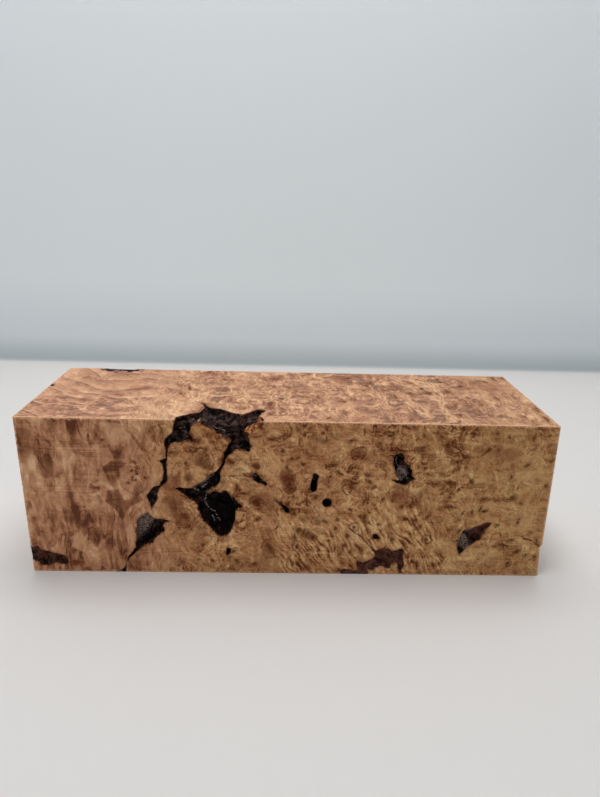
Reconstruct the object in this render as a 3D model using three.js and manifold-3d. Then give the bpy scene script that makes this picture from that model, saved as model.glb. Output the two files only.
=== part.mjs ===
// Maple burl block: a squared blank sawn from a maple burl, one solid piece of wood.
// The burl grew round bits of its own bark. Where the saw opened them they are dark,
// shallow pockets and seams with a rough floor, and some run over an arris.
// Millimetres. The origin is the middle of the face that the block rests on, X runs
// along the block, -Y is the side with the long seam of bark, and +Z is up.

import * as THREE from 'three';
import { mergeVertices } from 'three/addons/utils/BufferGeometryUtils.js';
import Module from 'manifold-3d';

const wasm = await Module();
wasm.setup();

// The sawn blank
const LENGTH = 152; // between the two sawn ends
const SECTION = 49; // width in Y, and height in Z
const END_LEAN = 0.72; // how much further +X both ends are at the bottom than at the top
const SAW_STEP = 0.6; // step that the saw left near the foot of the +X end
const SAW_STEP_HEIGHT = 10.3; // height of that step, which fades out to the bottom edge

// The pockets of bark
const FLOOR_STEP = 1; // grid of a pocket's rough floor
const PROUD = 1; // how far a cutter stands out of its face
const DEEPEST = 5; // how far a pocket's straight walls could reach
const RIM_SHARE = 0.55; // depth right at the rim, as a share of the pocket's depth
const BOWL_RUN = 1.8; // distance from the rim at which the full depth is reached
const LUMP_SIZE = 2.7; // spacing of the lumps on a floor
const LUMP_SHARE = 0.3; // their height, as a share of the pocket's depth
const ARRIS_WEAR = 0.5; // extra depth where bark runs over an arris, which rounds it
const ARRIS_RUN = 2.4; // distance from the arris over which that wears off
const LEAST_DEPTH = 0.3; // no floor comes nearer to its face than this
const LUMP_SEED = 23;

const HALF_LENGTH = LENGTH / 2;
const HALF_SECTION = SECTION / 2;

// The six faces. Outlines are drawn on them in (u, v), with w pointing out of the wood.
// u is X on the front, top and bottom, -X on the back, -Y on the left end, Y on the right.
// v is Z on the four upright faces, Y on the top and -Y on the bottom.
function face(origin, u, v, w, vRange) {
  const toWorld = new THREE.Matrix4()
    .makeBasis(new THREE.Vector3(...u), new THREE.Vector3(...v), new THREE.Vector3(...w))
    .setPosition(...origin);
  const uHalf = u[0] === 0 ? HALF_SECTION : HALF_LENGTH;
  return { toWorld, uHalf, vLow: vRange[0], vHigh: vRange[1] };
}

const upright = [0, SECTION];
const level = [-HALF_SECTION, HALF_SECTION];
const front = face([0, -HALF_SECTION, 0], [1, 0, 0], [0, 0, 1], [0, -1, 0], upright);
const back = face([0, HALF_SECTION, 0], [-1, 0, 0], [0, 0, 1], [0, 1, 0], upright);
const leftEnd = face([-HALF_LENGTH, 0, 0], [0, -1, 0], [0, 0, 1], [-1, 0, 0], upright);
const rightEnd = face([HALF_LENGTH, 0, 0], [0, 1, 0], [0, 0, 1], [1, 0, 0], upright);
const top = face([0, 0, SECTION], [1, 0, 0], [0, 1, 0], [0, 0, 1], level);
const bottom = face([0, 0, 0], [1, 0, 0], [0, -1, 0], [0, 0, -1], level);

// Outline of a small round or oval hole
function oval(uMid, vMid, uRadius, vRadius, sides = 9) {
  return Array.from({ length: sides }, (_, i) => {
    const angle = (2 * Math.PI * i) / sides;
    return [uMid + uRadius * Math.cos(angle), vMid + vRadius * Math.sin(angle)];
  });
}

// Every pocket: the face it opens on, its depth, and its outline on that face. An outline
// that runs past the edge of its face opens the pocket over that arris, where atArris is
// what its depth gains, or loses if the bark is nearly level with the wood there.
const pockets = [
  // Front, left lobe of the long seam: from the top arris down a hairline to a slit
  { on: front, depth: 1.8, outline: [
    [-31.7, 52], [-32.3, 48.4], [-32.8, 46.6], [-33.1, 45.1], [-34.8, 43.5], [-35.3, 42],
    [-35.1, 40], [-35.3, 37.4], [-36.8, 36.6], [-36.2, 35], [-36.1, 31.2], [-37.1, 29.4],
    [-36.9, 28.6], [-35.9, 29.3], [-35, 30.6], [-35, 34], [-34.9, 37.2], [-34.5, 40],
    [-34.1, 41], [-33.4, 42], [-31.1, 42.2], [-29.1, 43.1], [-28, 42.7], [-27, 42.1],
    [-26.5, 42.8], [-27.2, 44.2], [-27.8, 45.5], [-27.4, 47.5], [-26.9, 52],
  ] },
  // Front, right lobe, beside the broken chip
  { on: front, depth: 2.6, outline: [
    [-24.7, 52], [-24.5, 48.2], [-23.2, 47], [-21.8, 46.6], [-21.1, 45.7], [-19.6, 44.1],
    [-17.7, 43.4], [-16.9, 42.8], [-17.7, 41.8], [-18, 40.7], [-18.7, 39.4], [-17.6, 38.4],
    [-16.6, 39.1], [-16, 40], [-14.5, 40.2], [-11.6, 39.8], [-11.4, 41.6], [-11.8, 43.6],
    [-12.3, 45], [-13, 45.7], [-12.7, 47], [-12.3, 48.2], [-11.2, 52],
  ] },
  // Front, narrow link from that lobe down to a diagonal arm
  { on: front, depth: 1.9, outline: [
    [-18.8, 39.6], [-18.9, 38], [-19.4, 36.1], [-20.2, 34.5], [-21.4, 33.4], [-23.2, 32],
    [-24.5, 30.7], [-26.4, 29.3], [-28.2, 28.1], [-30.2, 28.1], [-31.6, 28.3], [-32.8, 27.8],
    [-31.4, 27], [-30, 25.9], [-29.1, 24.8], [-27.7, 24.1], [-26.6, 23.2], [-24.6, 24.2],
    [-23.8, 26.2], [-23.7, 27.3], [-22.3, 28.2], [-20.9, 29.1], [-20.2, 30], [-19.9, 31.4],
    [-19.9, 32.7], [-19.5, 34.1], [-18.9, 35.5], [-18.4, 37], [-17.5, 38.6], [-17.9, 39.8],
  ] },
  // Front, the largest pocket, at the foot of the arm
  { on: front, depth: 3.2, outline: [
    [-27.4, 24.2], [-26.6, 22.8], [-26.4, 21.2], [-25.8, 19.5], [-25, 17.7], [-23.6, 16.3],
    [-22.4, 14.5], [-21, 12.8], [-19.7, 12.5], [-18.4, 12.8], [-17.4, 13.9], [-16.5, 15.5],
    [-15.9, 18], [-15.4, 21.3], [-13.6, 22.3], [-14.8, 23.6], [-16.1, 25.2], [-17.5, 26.4],
    [-18.2, 27.3], [-19.1, 27.5], [-19.6, 26.8], [-21.8, 27.3], [-23, 26.4], [-24.4, 26.6],
    [-26.3, 26],
  ] },
  // Front, flat sliver of bark below the slit
  { on: front, depth: 0.7, outline: [
    [-41, 25.4], [-39.8, 27.3], [-38.6, 28.5], [-37, 28.8], [-37.5, 27.3], [-38, 25.9],
    [-38, 24.5], [-39.1, 22.7], [-39.9, 21.3], [-40.2, 23],
  ] },
  // Front, kite-shaped pocket with a tail towards the bottom edge
  { on: front, depth: 2.7, outline: [
    [-41.4, 20], [-40.6, 19.6], [-39.5, 18.4], [-37.4, 17.9], [-34.6, 17.4], [-36.1, 16.8],
    [-37.1, 15.5], [-36.3, 14.9], [-36.7, 13.8], [-37.9, 13], [-39.1, 11.8], [-40.1, 10],
    [-42.1, 9.6], [-43.5, 8.3], [-45.8, 6], [-47.2, 4.6], [-48.1, 3.2], [-47.6, 5.2],
    [-46, 7.1], [-45.1, 8.4], [-45, 10], [-44.6, 12], [-44.7, 14.2], [-44.2, 15.8],
    [-44.5, 16.8], [-43.9, 17.9], [-43.2, 18.7],
  ] },
  { on: front, depth: 1.2, atArris: -0.6, outline: [
    [-51, -3], [-50.6, 0.2], [-49.4, 1], [-48.5, 1.6], [-48.4, 0.6], [-48.9, -3],
  ] },
  // Front, long low pocket that opens over the left end
  { on: front, depth: 2.2, atArris: -1.8, outline: [
    [-80, 8.4], [-75.1, 8.1], [-73.8, 8.5], [-72.8, 7.2], [-70.8, 6.8], [-68.8, 6.2],
    [-66.5, 5.5], [-65.4, 4.5], [-65.3, 2.8], [-67, 2.5], [-69, 2.8], [-70.8, 2.1],
    [-72.5, 2], [-74, 2.7], [-75.3, 4], [-80, 4.6],
  ] },
  // Front, small slots and holes in the middle of the face
  { on: front, depth: 1.8, outline: [
    [-11, 32.7], [-9.7, 33.1], [-8.8, 32], [-7.9, 30.9], [-6.7, 30], [-6.9, 29.1],
    [-7.9, 29.7], [-9.4, 30.2], [-10.4, 30.9],
  ] },
  { on: front, depth: 1.8, outline: [
    [-2.9, 24.1], [-1.9, 23.4], [-0.6, 22.4], [0.1, 20.9], [-1, 20.6], [-1.9, 22],
  ] },
  { on: front, depth: 2.4, outline: [
    [6.5, 32.9], [7.4, 33.4], [8.2, 32.5], [7.8, 30.6], [7.6, 28.1], [6.7, 27.4],
    [5.6, 28.1], [6, 30.2],
  ] },
  { on: front, depth: 2.6, outline: oval(10.9, 24, 1.45, 1.4) },
  { on: front, depth: 1.6, outline: [
    [-18, 8.7], [-17.1, 8.2], [-17.4, 6.7], [-18.3, 5.8], [-18.6, 6.8],
  ] },
  { on: front, depth: 1.8, outline: [
    [24.9, 13.6], [26, 14], [27.1, 12.5], [26, 12.1], [25.1, 12.2],
  ] },
  // Front, upright pocket in the right half
  { on: front, depth: 2.6, outline: [
    [30, 39.7], [31.3, 40.1], [32.1, 39.1], [32.4, 37.4], [33.5, 36.3], [34.6, 34.9],
    [34.9, 33.1], [35.8, 32], [34.6, 31.3], [33.5, 30.2], [31.7, 30.4], [30.5, 30.9],
    [29.1, 31.7], [31, 31.7], [30.4, 33.4], [29.7, 35], [29.3, 36.7], [29.2, 38.7],
  ] },
  // Front, branching bark at the bottom edge, almost level with the wood
  { on: front, depth: 1, atArris: -0.6, outline: [
    [16.2, -3], [16.2, 0.8], [18.5, 0.7], [21.1, 1], [20.7, 2.9], [20.5, 4.7], [22.3, 4.1],
    [24.7, 5.1], [25.9, 6], [26.1, 7.2], [25, 8.3], [26.3, 8.2], [27.8, 9], [29.5, 9.1],
    [30.9, 8.1], [32.6, 8.6], [33.7, 9.1], [34.7, 8.1], [34.3, 6], [35, 3.9], [34.7, 2.2],
    [33.8, 1.5], [33.1, 2.2], [33, 3.9], [32.2, 4.3], [31.2, 3.9], [30.5, 2.2],
    [28.5, 2.9], [26.4, 2.4], [25.9, 1.5], [24, 1.7], [23.8, -3],
  ] },
  // Front, four-sided pocket near the right end
  { on: front, depth: 2, outline: [
    [51.4, 7.2], [50.5, 9.8], [50.5, 11.9], [51.2, 13.6], [51.8, 15.3], [53.3, 16],
    [55.7, 16.9], [57.8, 17.9], [59.6, 18.1], [59.5, 17.2], [58.3, 16], [57.5, 14.3],
    [57.3, 12.7], [55.7, 11.5], [54, 10.1], [52.6, 8.8],
  ] },

  // Top, the same seam over the front arris, with the wood between its lobes left standing
  { on: top, depth: 2, outline: [
    [-31.7, -27.5], [-31.8, -23.2], [-31.4, -21.8], [-30.5, -21], [-29.2, -20],
    [-28.6, -19.3], [-27.1, -19.1], [-26.3, -18.2], [-25.8, -16.6], [-25.4, -14.7],
    [-25.5, -13.2], [-25.9, -11.6], [-26.8, -9.9], [-25.7, -10.8], [-24.9, -12.4],
    [-23.9, -13.7], [-22.6, -14.7], [-20.8, -15], [-19.7, -15.8], [-18.4, -16.8],
    [-17.1, -17.9], [-15.3, -18.7], [-13.9, -19.5], [-12.4, -17.9], [-11, -16.3],
    [-9.7, -14.9], [-8.2, -15], [-7.6, -16.6], [-8.4, -17.6], [-8.9, -19.7],
    [-9.2, -21.3], [-10.5, -22.9], [-11.2, -27.5], [-24.8, -27.5], [-25.5, -22.8],
    [-26.8, -27.5],
  ] },
  // Front and top, chip of broken wood beside the seam
  { on: front, depth: 0.9, outline: [
    [-12.9, 45.8], [-12.5, 47.2], [-12, 48.6], [-11.4, 52], [-7.8, 52], [-8.7, 48.4],
    [-9.9, 46.8], [-11.2, 45.5],
  ] },
  { on: top, depth: 0.9, outline: [
    [-11.4, -27.5], [-10.7, -22.9], [-9.3, -21.2], [-8.3, -21.4], [-7.9, -23], [-7.8, -27.5],
  ] },
  // Top and back, torn bark on the far arris
  { on: top, depth: 1.7, outline: [
    [-64, 27.5], [-63.2, 23.4], [-61, 22.9], [-58.5, 23.3], [-56.5, 22.7], [-54.2, 23.5],
    [-53, 27.5],
  ] },
  { on: back, depth: 2, outline: [
    [52.9, 52], [53.3, 47], [54.8, 44.2], [57, 41.6], [59.6, 42.4], [61.4, 45.6],
    [64.1, 52],
  ] },
  // Top and left end, a spot of bark on their arris
  { on: top, depth: 0.8, outline: [
    [-80, 5.7], [-75.5, 5.2], [-75, 4.2], [-75.8, 3.5], [-80, 3.3],
  ] },
  { on: leftEnd, depth: 0.8, outline: [
    [-5.7, 52], [-5.4, 47.6], [-4.4, 46.9], [-3.5, 47.8], [-3.3, 52],
  ] },

  // Left end, the low front pocket carried on, and a slot
  { on: leftEnd, depth: 2, atArris: -1.6, outline: [
    [27.5, 8.4], [22.4, 9.3], [18.8, 8.8], [15.6, 10.2], [13.4, 9.4], [15.8, 7.2],
    [19.6, 5.6], [22.8, 4.9], [27.5, 4.6],
  ] },
  { on: leftEnd, depth: 2, outline: [
    [-13, 27.5], [-11.6, 31.4], [-9.4, 33.8], [-8.2, 33], [-9.8, 30.2], [-10.6, 26.8],
    [-12.2, 25.6],
  ] },
  // Right end, a forked seam and a hole
  { on: rightEnd, depth: 2, outline: [
    [-9, 28.6], [-5.8, 31.2], [-1.6, 31], [1.8, 33.6], [4.4, 37.2], [5.8, 36.6],
    [4.6, 32.6], [8.2, 31], [4.2, 29.6], [0.6, 28.2], [-3.8, 27.4],
  ] },
  { on: rightEnd, depth: 2.2, outline: oval(-13.5, 14, 1.2, 1.9) },

  // Back, a wandering seam, two pockets and two holes
  { on: back, depth: 2.2, outline: [
    [-2, 31], [2.6, 34.6], [7.4, 35], [11.8, 38.4], [14.4, 38], [14, 34.8], [19, 33.6],
    [23.8, 35.2], [27.6, 33.4], [23.6, 31.6], [18.4, 30.6], [15.4, 27.6], [14.6, 22.8],
    [13.2, 23.2], [13, 28.4], [10.6, 31.8], [4.8, 32.2],
  ] },
  { on: back, depth: 2.8, outline: [
    [-38.4, 14.2], [-36, 17.6], [-32, 19], [-28.8, 17.8], [-27.4, 14.8], [-29.2, 11.6],
    [-32.6, 10.4], [-36, 11],
  ] },
  { on: back, depth: 1.6, outline: [
    [44, 12], [46.6, 14.6], [50.4, 15.4], [53.6, 13.2], [50.8, 11.8], [47, 10.6],
  ] },
  { on: back, depth: 2.2, outline: oval(-14.5, 27, 1.3, 1.6) },
  { on: back, depth: 2, outline: oval(-57, 31.5, 1.1, 2.2) },

  // Bottom, the two front pockets carried on, and two of its own
  { on: bottom, depth: 1.3, atArris: -0.9, outline: [
    [16.2, 27.5], [17, 22.8], [18.6, 20.4], [20.2, 18.9], [21.8, 20.6], [23.4, 22.6],
    [23.8, 27.5],
  ] },
  { on: bottom, depth: 1.2, atArris: -0.7, outline: [
    [-51, 27.5], [-51.4, 23.4], [-50.2, 21.6], [-49, 23.2], [-48.9, 27.5],
  ] },
  { on: bottom, depth: 2, outline: [
    [-33, -7.4], [-29.4, -4.2], [-24.6, -3.4], [-20.8, -5.8], [-24.4, -7.2], [-28.2, -8.8],
  ] },
  { on: bottom, depth: 2.2, outline: oval(47, 4.5, 2, 1.3) },
];

// A closed three.js geometry as a solid
function solid(geometry) {
  geometry.deleteAttribute('normal');
  geometry.deleteAttribute('uv');
  const merged = mergeVertices(geometry, 1e-4);
  return new wasm.Manifold(new wasm.Mesh({
    numProp: 3,
    vertProperties: new Float32Array(merged.attributes.position.array),
    triVerts: new Uint32Array(merged.index.array),
  }));
}

function shapeFrom(points) {
  return new THREE.Shape(points.map(([u, v]) => new THREE.Vector2(u, v)));
}

// Smooth noise in 0..1 on a lattice of seeded random values
const LATTICE = 64;
const lattice = [];
let state = LUMP_SEED;
for (let i = 0; i < LATTICE * LATTICE; i++) {
  state = (state * 1664525 + 1013904223) % 4294967296;
  lattice.push(state / 4294967296);
}

function latticeValue(column, row) {
  const wrap = (index) => ((index % LATTICE) + LATTICE) % LATTICE;
  return lattice[wrap(column) + LATTICE * wrap(row)];
}

function noise(a, b) {
  const column = Math.floor(a);
  const row = Math.floor(b);
  const s = THREE.MathUtils.smoothstep(a - column, 0, 1);
  const t = THREE.MathUtils.smoothstep(b - row, 0, 1);
  const low = THREE.MathUtils.lerp(latticeValue(column, row), latticeValue(column + 1, row), s);
  const high = THREE.MathUtils.lerp(
    latticeValue(column, row + 1), latticeValue(column + 1, row + 1), s);
  return THREE.MathUtils.lerp(low, high, t);
}

// Distance from a point to the nearest side of an outline
function rimDistance(outline, u, v) {
  const point = new THREE.Vector3(u, v, 0);
  const side = new THREE.Line3();
  const nearest = new THREE.Vector3();
  let least = Infinity;
  outline.forEach(([uStart, vStart], i) => {
    const [uEnd, vEnd] = outline[(i + 1) % outline.length];
    side.start.set(uStart, vStart, 0);
    side.end.set(uEnd, vEnd, 0);
    side.closestPointToPoint(point, true, nearest);
    least = Math.min(least, nearest.distanceTo(point));
  });
  return least;
}

// Depth of a pocket's floor below its face: a steep rim, a bowl, lumps and a worn arris
function floorDepth({ on, depth, outline, atArris = ARRIS_WEAR }, u, v) {
  const bowl = THREE.MathUtils.smoothstep(rimDistance(outline, u, v), 0, BOWL_RUN);
  const lumps = LUMP_SHARE * (2 * noise(u / LUMP_SIZE, v / LUMP_SIZE) - 1);
  const toArris = Math.min(on.uHalf - Math.abs(u), v - on.vLow, on.vHigh - v);
  const wear = atArris * Math.exp(-((Math.max(toArris, 0) / ARRIS_RUN) ** 2));
  return Math.max(LEAST_DEPTH, depth * (RIM_SHARE + (1 - RIM_SHARE) * bowl + lumps) + wear);
}

// The solid that hollows one pocket out: straight walls along the outline, and the floor
function cutter(pocket) {
  const shape = shapeFrom(pocket.outline);
  const walls = new THREE.ExtrudeGeometry(shape, { depth: DEEPEST + PROUD, bevelEnabled: false });
  walls.translate(0, 0, -DEEPEST);

  const reach = new THREE.Box2().setFromPoints(shape.getPoints()).expandByScalar(FLOOR_STEP);
  const size = reach.getSize(new THREE.Vector2());
  const middle = reach.getCenter(new THREE.Vector2());
  const columns = Math.ceil(size.x / FLOOR_STEP);
  const rows = Math.ceil(size.y / FLOOR_STEP);
  const slab = new THREE.BoxGeometry(size.x, size.y, 2, columns, rows, 1);
  slab.translate(middle.x, middle.y, 0);
  const place = slab.attributes.position;
  for (let i = 0; i < place.count; i++) {
    const under = place.getZ(i) < 0;
    const depth = floorDepth(pocket, place.getX(i), place.getY(i));
    place.setZ(i, under ? -depth : 2 * PROUD);
  }
  walls.applyMatrix4(pocket.on.toWorld);
  slab.applyMatrix4(pocket.on.toWorld);
  return solid(walls).intersect(solid(slab));
}

// The blank: its front outline, with both ends leaning and the saw step, drawn back in Y
function blank() {
  const lean = END_LEAN / 2;
  const leanAt = (z) => lean * (1 - (2 * z) / SECTION);
  const outline = shapeFrom([
    [-HALF_LENGTH + lean, 0],
    [HALF_LENGTH + lean, 0],
    [HALF_LENGTH + leanAt(SAW_STEP_HEIGHT) - SAW_STEP, SAW_STEP_HEIGHT],
    [HALF_LENGTH + leanAt(SAW_STEP_HEIGHT), SAW_STEP_HEIGHT + SAW_STEP / 2],
    [HALF_LENGTH - lean, SECTION],
    [-HALF_LENGTH - lean, SECTION],
  ]);
  const bar = new THREE.ExtrudeGeometry(outline, { depth: SECTION, bevelEnabled: false });
  bar.translate(0, 0, -SECTION);
  bar.applyMatrix4(front.toWorld);
  return solid(bar);
}

// The block as a mesh, with every pocket cut out of the blank
function burlBlock() {
  const hollowed = pockets.reduce((wood, pocket) => wood.subtract(cutter(pocket)), blank());
  const { vertProperties, triVerts } = hollowed.getMesh();
  const geometry = new THREE.BufferGeometry();
  geometry.setAttribute('position', new THREE.Float32BufferAttribute(vertProperties, 3));
  geometry.setIndex(new THREE.Uint32BufferAttribute(triVerts, 1));
  geometry.computeVertexNormals();
  const material = new THREE.MeshStandardMaterial({
    color: 0xa98258,
    roughness: 0.78,
    metalness: 0,
    flatShading: true,
  });
  const mesh = new THREE.Mesh(geometry, material);
  mesh.name = 'burl_block';
  return mesh;
}

const group = new THREE.Group();
group.name = 'maple_burl_block';
group.add(burlBlock());

export default group;
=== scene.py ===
# %% [markdown]
# # A block of maple burl
# A burl is a swelling on a maple's trunk, full of buds that never opened. Sawn square it
# shows swirling grain, dark eyes where the buds were, and pockets of bark that the burl
# grew round. The model holds the block's true shape. This lesson dresses that shape: it
# makes a fine mesh over it, with torn rims and flaky bark, and one material of wood and
# bark, and then lights and frames it.

# %% Load the frame
import math

import bmesh
import bpy
import numpy as np
from mathutils import Matrix, Vector, kdtree, noise
from mathutils.bvhtree import BVHTree
from mathutils.geometry import delaunay_2d_cdt


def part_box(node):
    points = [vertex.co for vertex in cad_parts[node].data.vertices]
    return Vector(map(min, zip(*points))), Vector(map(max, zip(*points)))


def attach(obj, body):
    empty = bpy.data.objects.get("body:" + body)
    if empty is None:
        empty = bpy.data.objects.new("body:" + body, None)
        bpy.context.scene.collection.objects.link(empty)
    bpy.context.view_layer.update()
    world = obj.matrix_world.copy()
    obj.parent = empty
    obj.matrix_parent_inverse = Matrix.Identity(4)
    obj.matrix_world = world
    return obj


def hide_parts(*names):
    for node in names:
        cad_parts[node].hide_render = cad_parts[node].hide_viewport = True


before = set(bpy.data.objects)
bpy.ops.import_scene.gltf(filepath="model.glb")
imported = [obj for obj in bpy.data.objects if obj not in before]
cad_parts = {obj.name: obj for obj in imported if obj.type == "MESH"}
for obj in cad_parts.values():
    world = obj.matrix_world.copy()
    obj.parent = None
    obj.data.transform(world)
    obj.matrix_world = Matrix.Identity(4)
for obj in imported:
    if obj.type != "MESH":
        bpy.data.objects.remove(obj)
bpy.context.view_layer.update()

# %% [markdown]
# ## Camera
# The block was photographed from close by, a little above it, so its near face looks much
# larger than its far edges. A camera could be aimed by eye, but the eight corners of a
# squared block fix it well: this place, aim and lens put each corner where it was seen.
# The aim is three small turns: down, to the right, and a roll.

# %% Camera
MM = 0.001
CAMERA_PLACE = Vector((-0.0033, -0.1845, 0.1098))
PITCH_DOWN = 0.3253
TURN_RIGHT = 0.0336
ROLL = 0.0300
SENSOR_LONG_SIDE = 36.0
LENS = 27.93


def aim(pitch, turn, roll):
    """Rotation of a camera that looks along +Y, turned right, tipped down, then rolled."""
    look = Vector((
        math.sin(turn) * math.cos(pitch),
        math.cos(turn) * math.cos(pitch),
        -math.sin(pitch),
    ))
    right = look.cross(Vector((0, 0, 1))).normalized()
    up = right.cross(look)
    rolled_right = math.cos(roll) * right + math.sin(roll) * up
    rolled_up = math.cos(roll) * up - math.sin(roll) * right
    return Matrix((rolled_right, rolled_up, -look)).transposed()


def add_object(name, data):
    """A new object in the scene that shows some data."""
    made = bpy.data.objects.new(name, data)
    bpy.context.scene.collection.objects.link(made)
    return made


def make_camera():
    data = bpy.data.cameras.new("camera")
    data.sensor_width = SENSOR_LONG_SIDE
    data.lens = LENS
    data.clip_start = 0.01
    camera = add_object("camera", data)
    turned = aim(PITCH_DOWN, TURN_RIGHT, ROLL).to_4x4()
    camera.matrix_world = Matrix.Translation(CAMERA_PLACE) @ turned
    bpy.context.scene.camera = camera
    return camera


make_camera()
print("camera at", tuple(CAMERA_PLACE), "lens", LENS)

# %% [markdown]
# ## The straight block
# The ends were sawn a little out of square: both lean the same way, and a small step is
# left near the foot of the right end. It is much easier to work on a straight box, so the
# model's mesh is copied, sheared straight, and everything is made on that box. The last
# step leans it back. Here and below, lengths are in millimetres.

# %% Sizes of the straight block
low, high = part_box("burl_block")
SECTION = (high.z - low.z) / MM
END_LEAN = 0.72
LENGTH = (high.x - low.x) / MM - END_LEAN
SAW_STEP = 0.6
SAW_STEP_HEIGHT = 10.3
STEP_REACH = 4.0
HALF_LENGTH = LENGTH / 2
HALF_SECTION = SECTION / 2
print("straight block:", round(LENGTH, 2), "x", round(SECTION, 2), "mm")


def saw_step(height):
    """How far the right end is cut back at a height: nothing at the foot, then a step."""
    below = SAW_STEP * np.clip(height / SAW_STEP_HEIGHT, 0, 1)
    above = (height - SAW_STEP_HEIGHT) / (SAW_STEP / 2)
    return below * (1 - np.clip(above, 0, 1))


def lean(points):
    """Straight block to true block: the saw step, then the lean of the ends."""
    out = points.copy()
    near_end = np.clip((points[:, 0] - HALF_LENGTH + STEP_REACH) / STEP_REACH, 0, None)
    out[:, 0] -= saw_step(points[:, 2]) * near_end
    out[:, 0] += END_LEAN * (0.5 - points[:, 2] / SECTION)
    return out


def straighten(points):
    """True block to straight block: the reverse of lean."""
    out = points.copy()
    out[:, 0] -= END_LEAN * (0.5 - points[:, 2] / SECTION)
    start = HALF_LENGTH - STEP_REACH
    share = saw_step(points[:, 2]) / STEP_REACH
    stretched = (out[:, 0] - share * start) / (1 - share)
    out[:, 0] = np.where(out[:, 0] > start, stretched, out[:, 0])
    return out


# %% [markdown]
# ## The six faces
# Each face of the box gets its own flat coordinates, u and v, with the middle of the face
# at zero. Outlines and points are made in u and v, and go back to 3-D through the face.

# %% Faces and arrises
MIDDLE = np.array([0.0, 0.0, HALF_SECTION])
IN_PLANE = 1e-4


def half_along(direction):
    """Half the block's size along one of its axes."""
    return HALF_LENGTH if direction[0] else HALF_SECTION


class Face:
    """One flat face of the straight block, with its own u and v."""

    def __init__(self, name, u, v, out):
        self.name = name
        self.u = np.array(u, float)
        self.v = np.array(v, float)
        self.out = np.array(out, float)
        self.half_u = half_along(u)
        self.half_v = HALF_SECTION
        self.origin = MIDDLE + self.out * half_along(out)

    def to_3d(self, uv):
        uv = np.asarray(uv, float).reshape(-1, 2)
        return self.origin + uv[:, :1] * self.u + uv[:, 1:] * self.v

    def to_2d(self, points):
        offset = np.asarray(points, float).reshape(-1, 3) - self.origin
        return np.stack([offset @ self.u, offset @ self.v], 1)

    def edge_distance(self, uv):
        return np.minimum(self.half_u - abs(uv[:, 0]), self.half_v - abs(uv[:, 1]))

    def holds(self, points, near=IN_PLANE):
        """Which points lie in the plane of this face."""
        return abs((points - self.origin) @ self.out) < near


FACES = [
    Face("front", (1, 0, 0), (0, 0, 1), (0, -1, 0)),
    Face("back", (-1, 0, 0), (0, 0, 1), (0, 1, 0)),
    Face("left", (0, -1, 0), (0, 0, 1), (-1, 0, 0)),
    Face("right", (0, 1, 0), (0, 0, 1), (1, 0, 0)),
    Face("top", (1, 0, 0), (0, 1, 0), (0, 0, 1)),
    Face("bottom", (1, 0, 0), (0, -1, 0), (0, 0, -1)),
]
print("faces:", [face.name for face in FACES])

# %% [markdown]
# ## Reading the pockets off the model
# The pockets are already cut in the model. A rim is where a flat sawn face meets a pocket,
# so it is found as the edges with a sawn face on one side and a pocket's wall on the
# other. Chained end to end they give each rim as a loop, or as an open line where the
# pocket runs over an arris.

# %% The model's mesh, straightened
ON_FACE = 0.02


def straight_model():
    """The model's mesh as a bmesh in millimetres on the straight block."""
    mesh = bmesh.new()
    mesh.from_mesh(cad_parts["burl_block"].data)
    bmesh.ops.remove_doubles(mesh, verts=mesh.verts, dist=1e-6)
    places = np.array([vert.co for vert in mesh.verts]) / MM
    for vert, place in zip(mesh.verts, straighten(places)):
        vert.co = place
    mesh.verts.index_update()
    mesh.normal_update()
    return mesh


def sawn_face_of(polygon):
    """Index of the box face that a polygon lies on, or -1 for a pocket's wall or floor."""
    corners = np.array([vert.co for vert in polygon.verts])
    for index, face in enumerate(FACES):
        if face.holds(corners, ON_FACE).all():
            return index
    return -1


model = straight_model()
face_of = {polygon: sawn_face_of(polygon) for polygon in model.faces}
model_tree = BVHTree.FromBMesh(model)
print("model:", len(model.faces), "faces,", sum(k < 0 for k in face_of.values()), "in pockets")

# %% Rims
def rim_edges(index):
    """Pairs of vertices along every rim on one face."""
    pairs = []
    for edge in model.edges:
        sides = [face_of[polygon] for polygon in edge.link_faces]
        if index in sides and -1 in sides:
            pairs.append((edge.verts[0].index, edge.verts[1].index))
    return pairs


def chains(pairs):
    """Joins pairs end to end. Each chain is a list of vertices, closed if first == last."""
    links = {}
    for a, b in pairs:
        links.setdefault(a, []).append(b)
        links.setdefault(b, []).append(a)
    found = []
    ends_first = sorted(links, key=lambda vert: (len(links[vert]) != 1, vert))
    for start in ends_first:
        while links[start]:
            chain = [start]
            while links[chain[-1]]:
                following = links[chain[-1]].pop()
                links[following].remove(chain[-1])
                chain.append(following)
                if following == start:
                    break
            found.append(chain)
    return found


model.verts.ensure_lookup_table()
rims = {}
for index, face in enumerate(FACES):
    rims[index] = [
        face.to_2d([model.verts[i].co for i in chain])
        for chain in chains(rim_edges(index))
    ]
    print(face.name, "rims:", [len(rim) for rim in rims[index]])

# %% [markdown]
# ## Torn rims
# A saw doesn't leave a pocket with a clean outline: bark and wood tear a little. Each rim
# is rounded with a curve through its points, sampled finely, and pushed about by smooth
# noise, less and less towards an arris, so that two faces still meet there.

# %% Fine rims
RIM_STEP = 0.22
CURVE_PULL = 0.35
TEAR_SIZES = ((1.5, 0.16), (0.55, 0.09))
TEAR_CALM = 0.6
# Noise vectors start from a random place, which differs from run to run unless seeded.
NOISE_SEED = 5
noise.seed_set(NOISE_SEED)


def eased(t):
    """0 to 1 with a level start and end."""
    return t * t * (3 - 2 * t)


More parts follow.
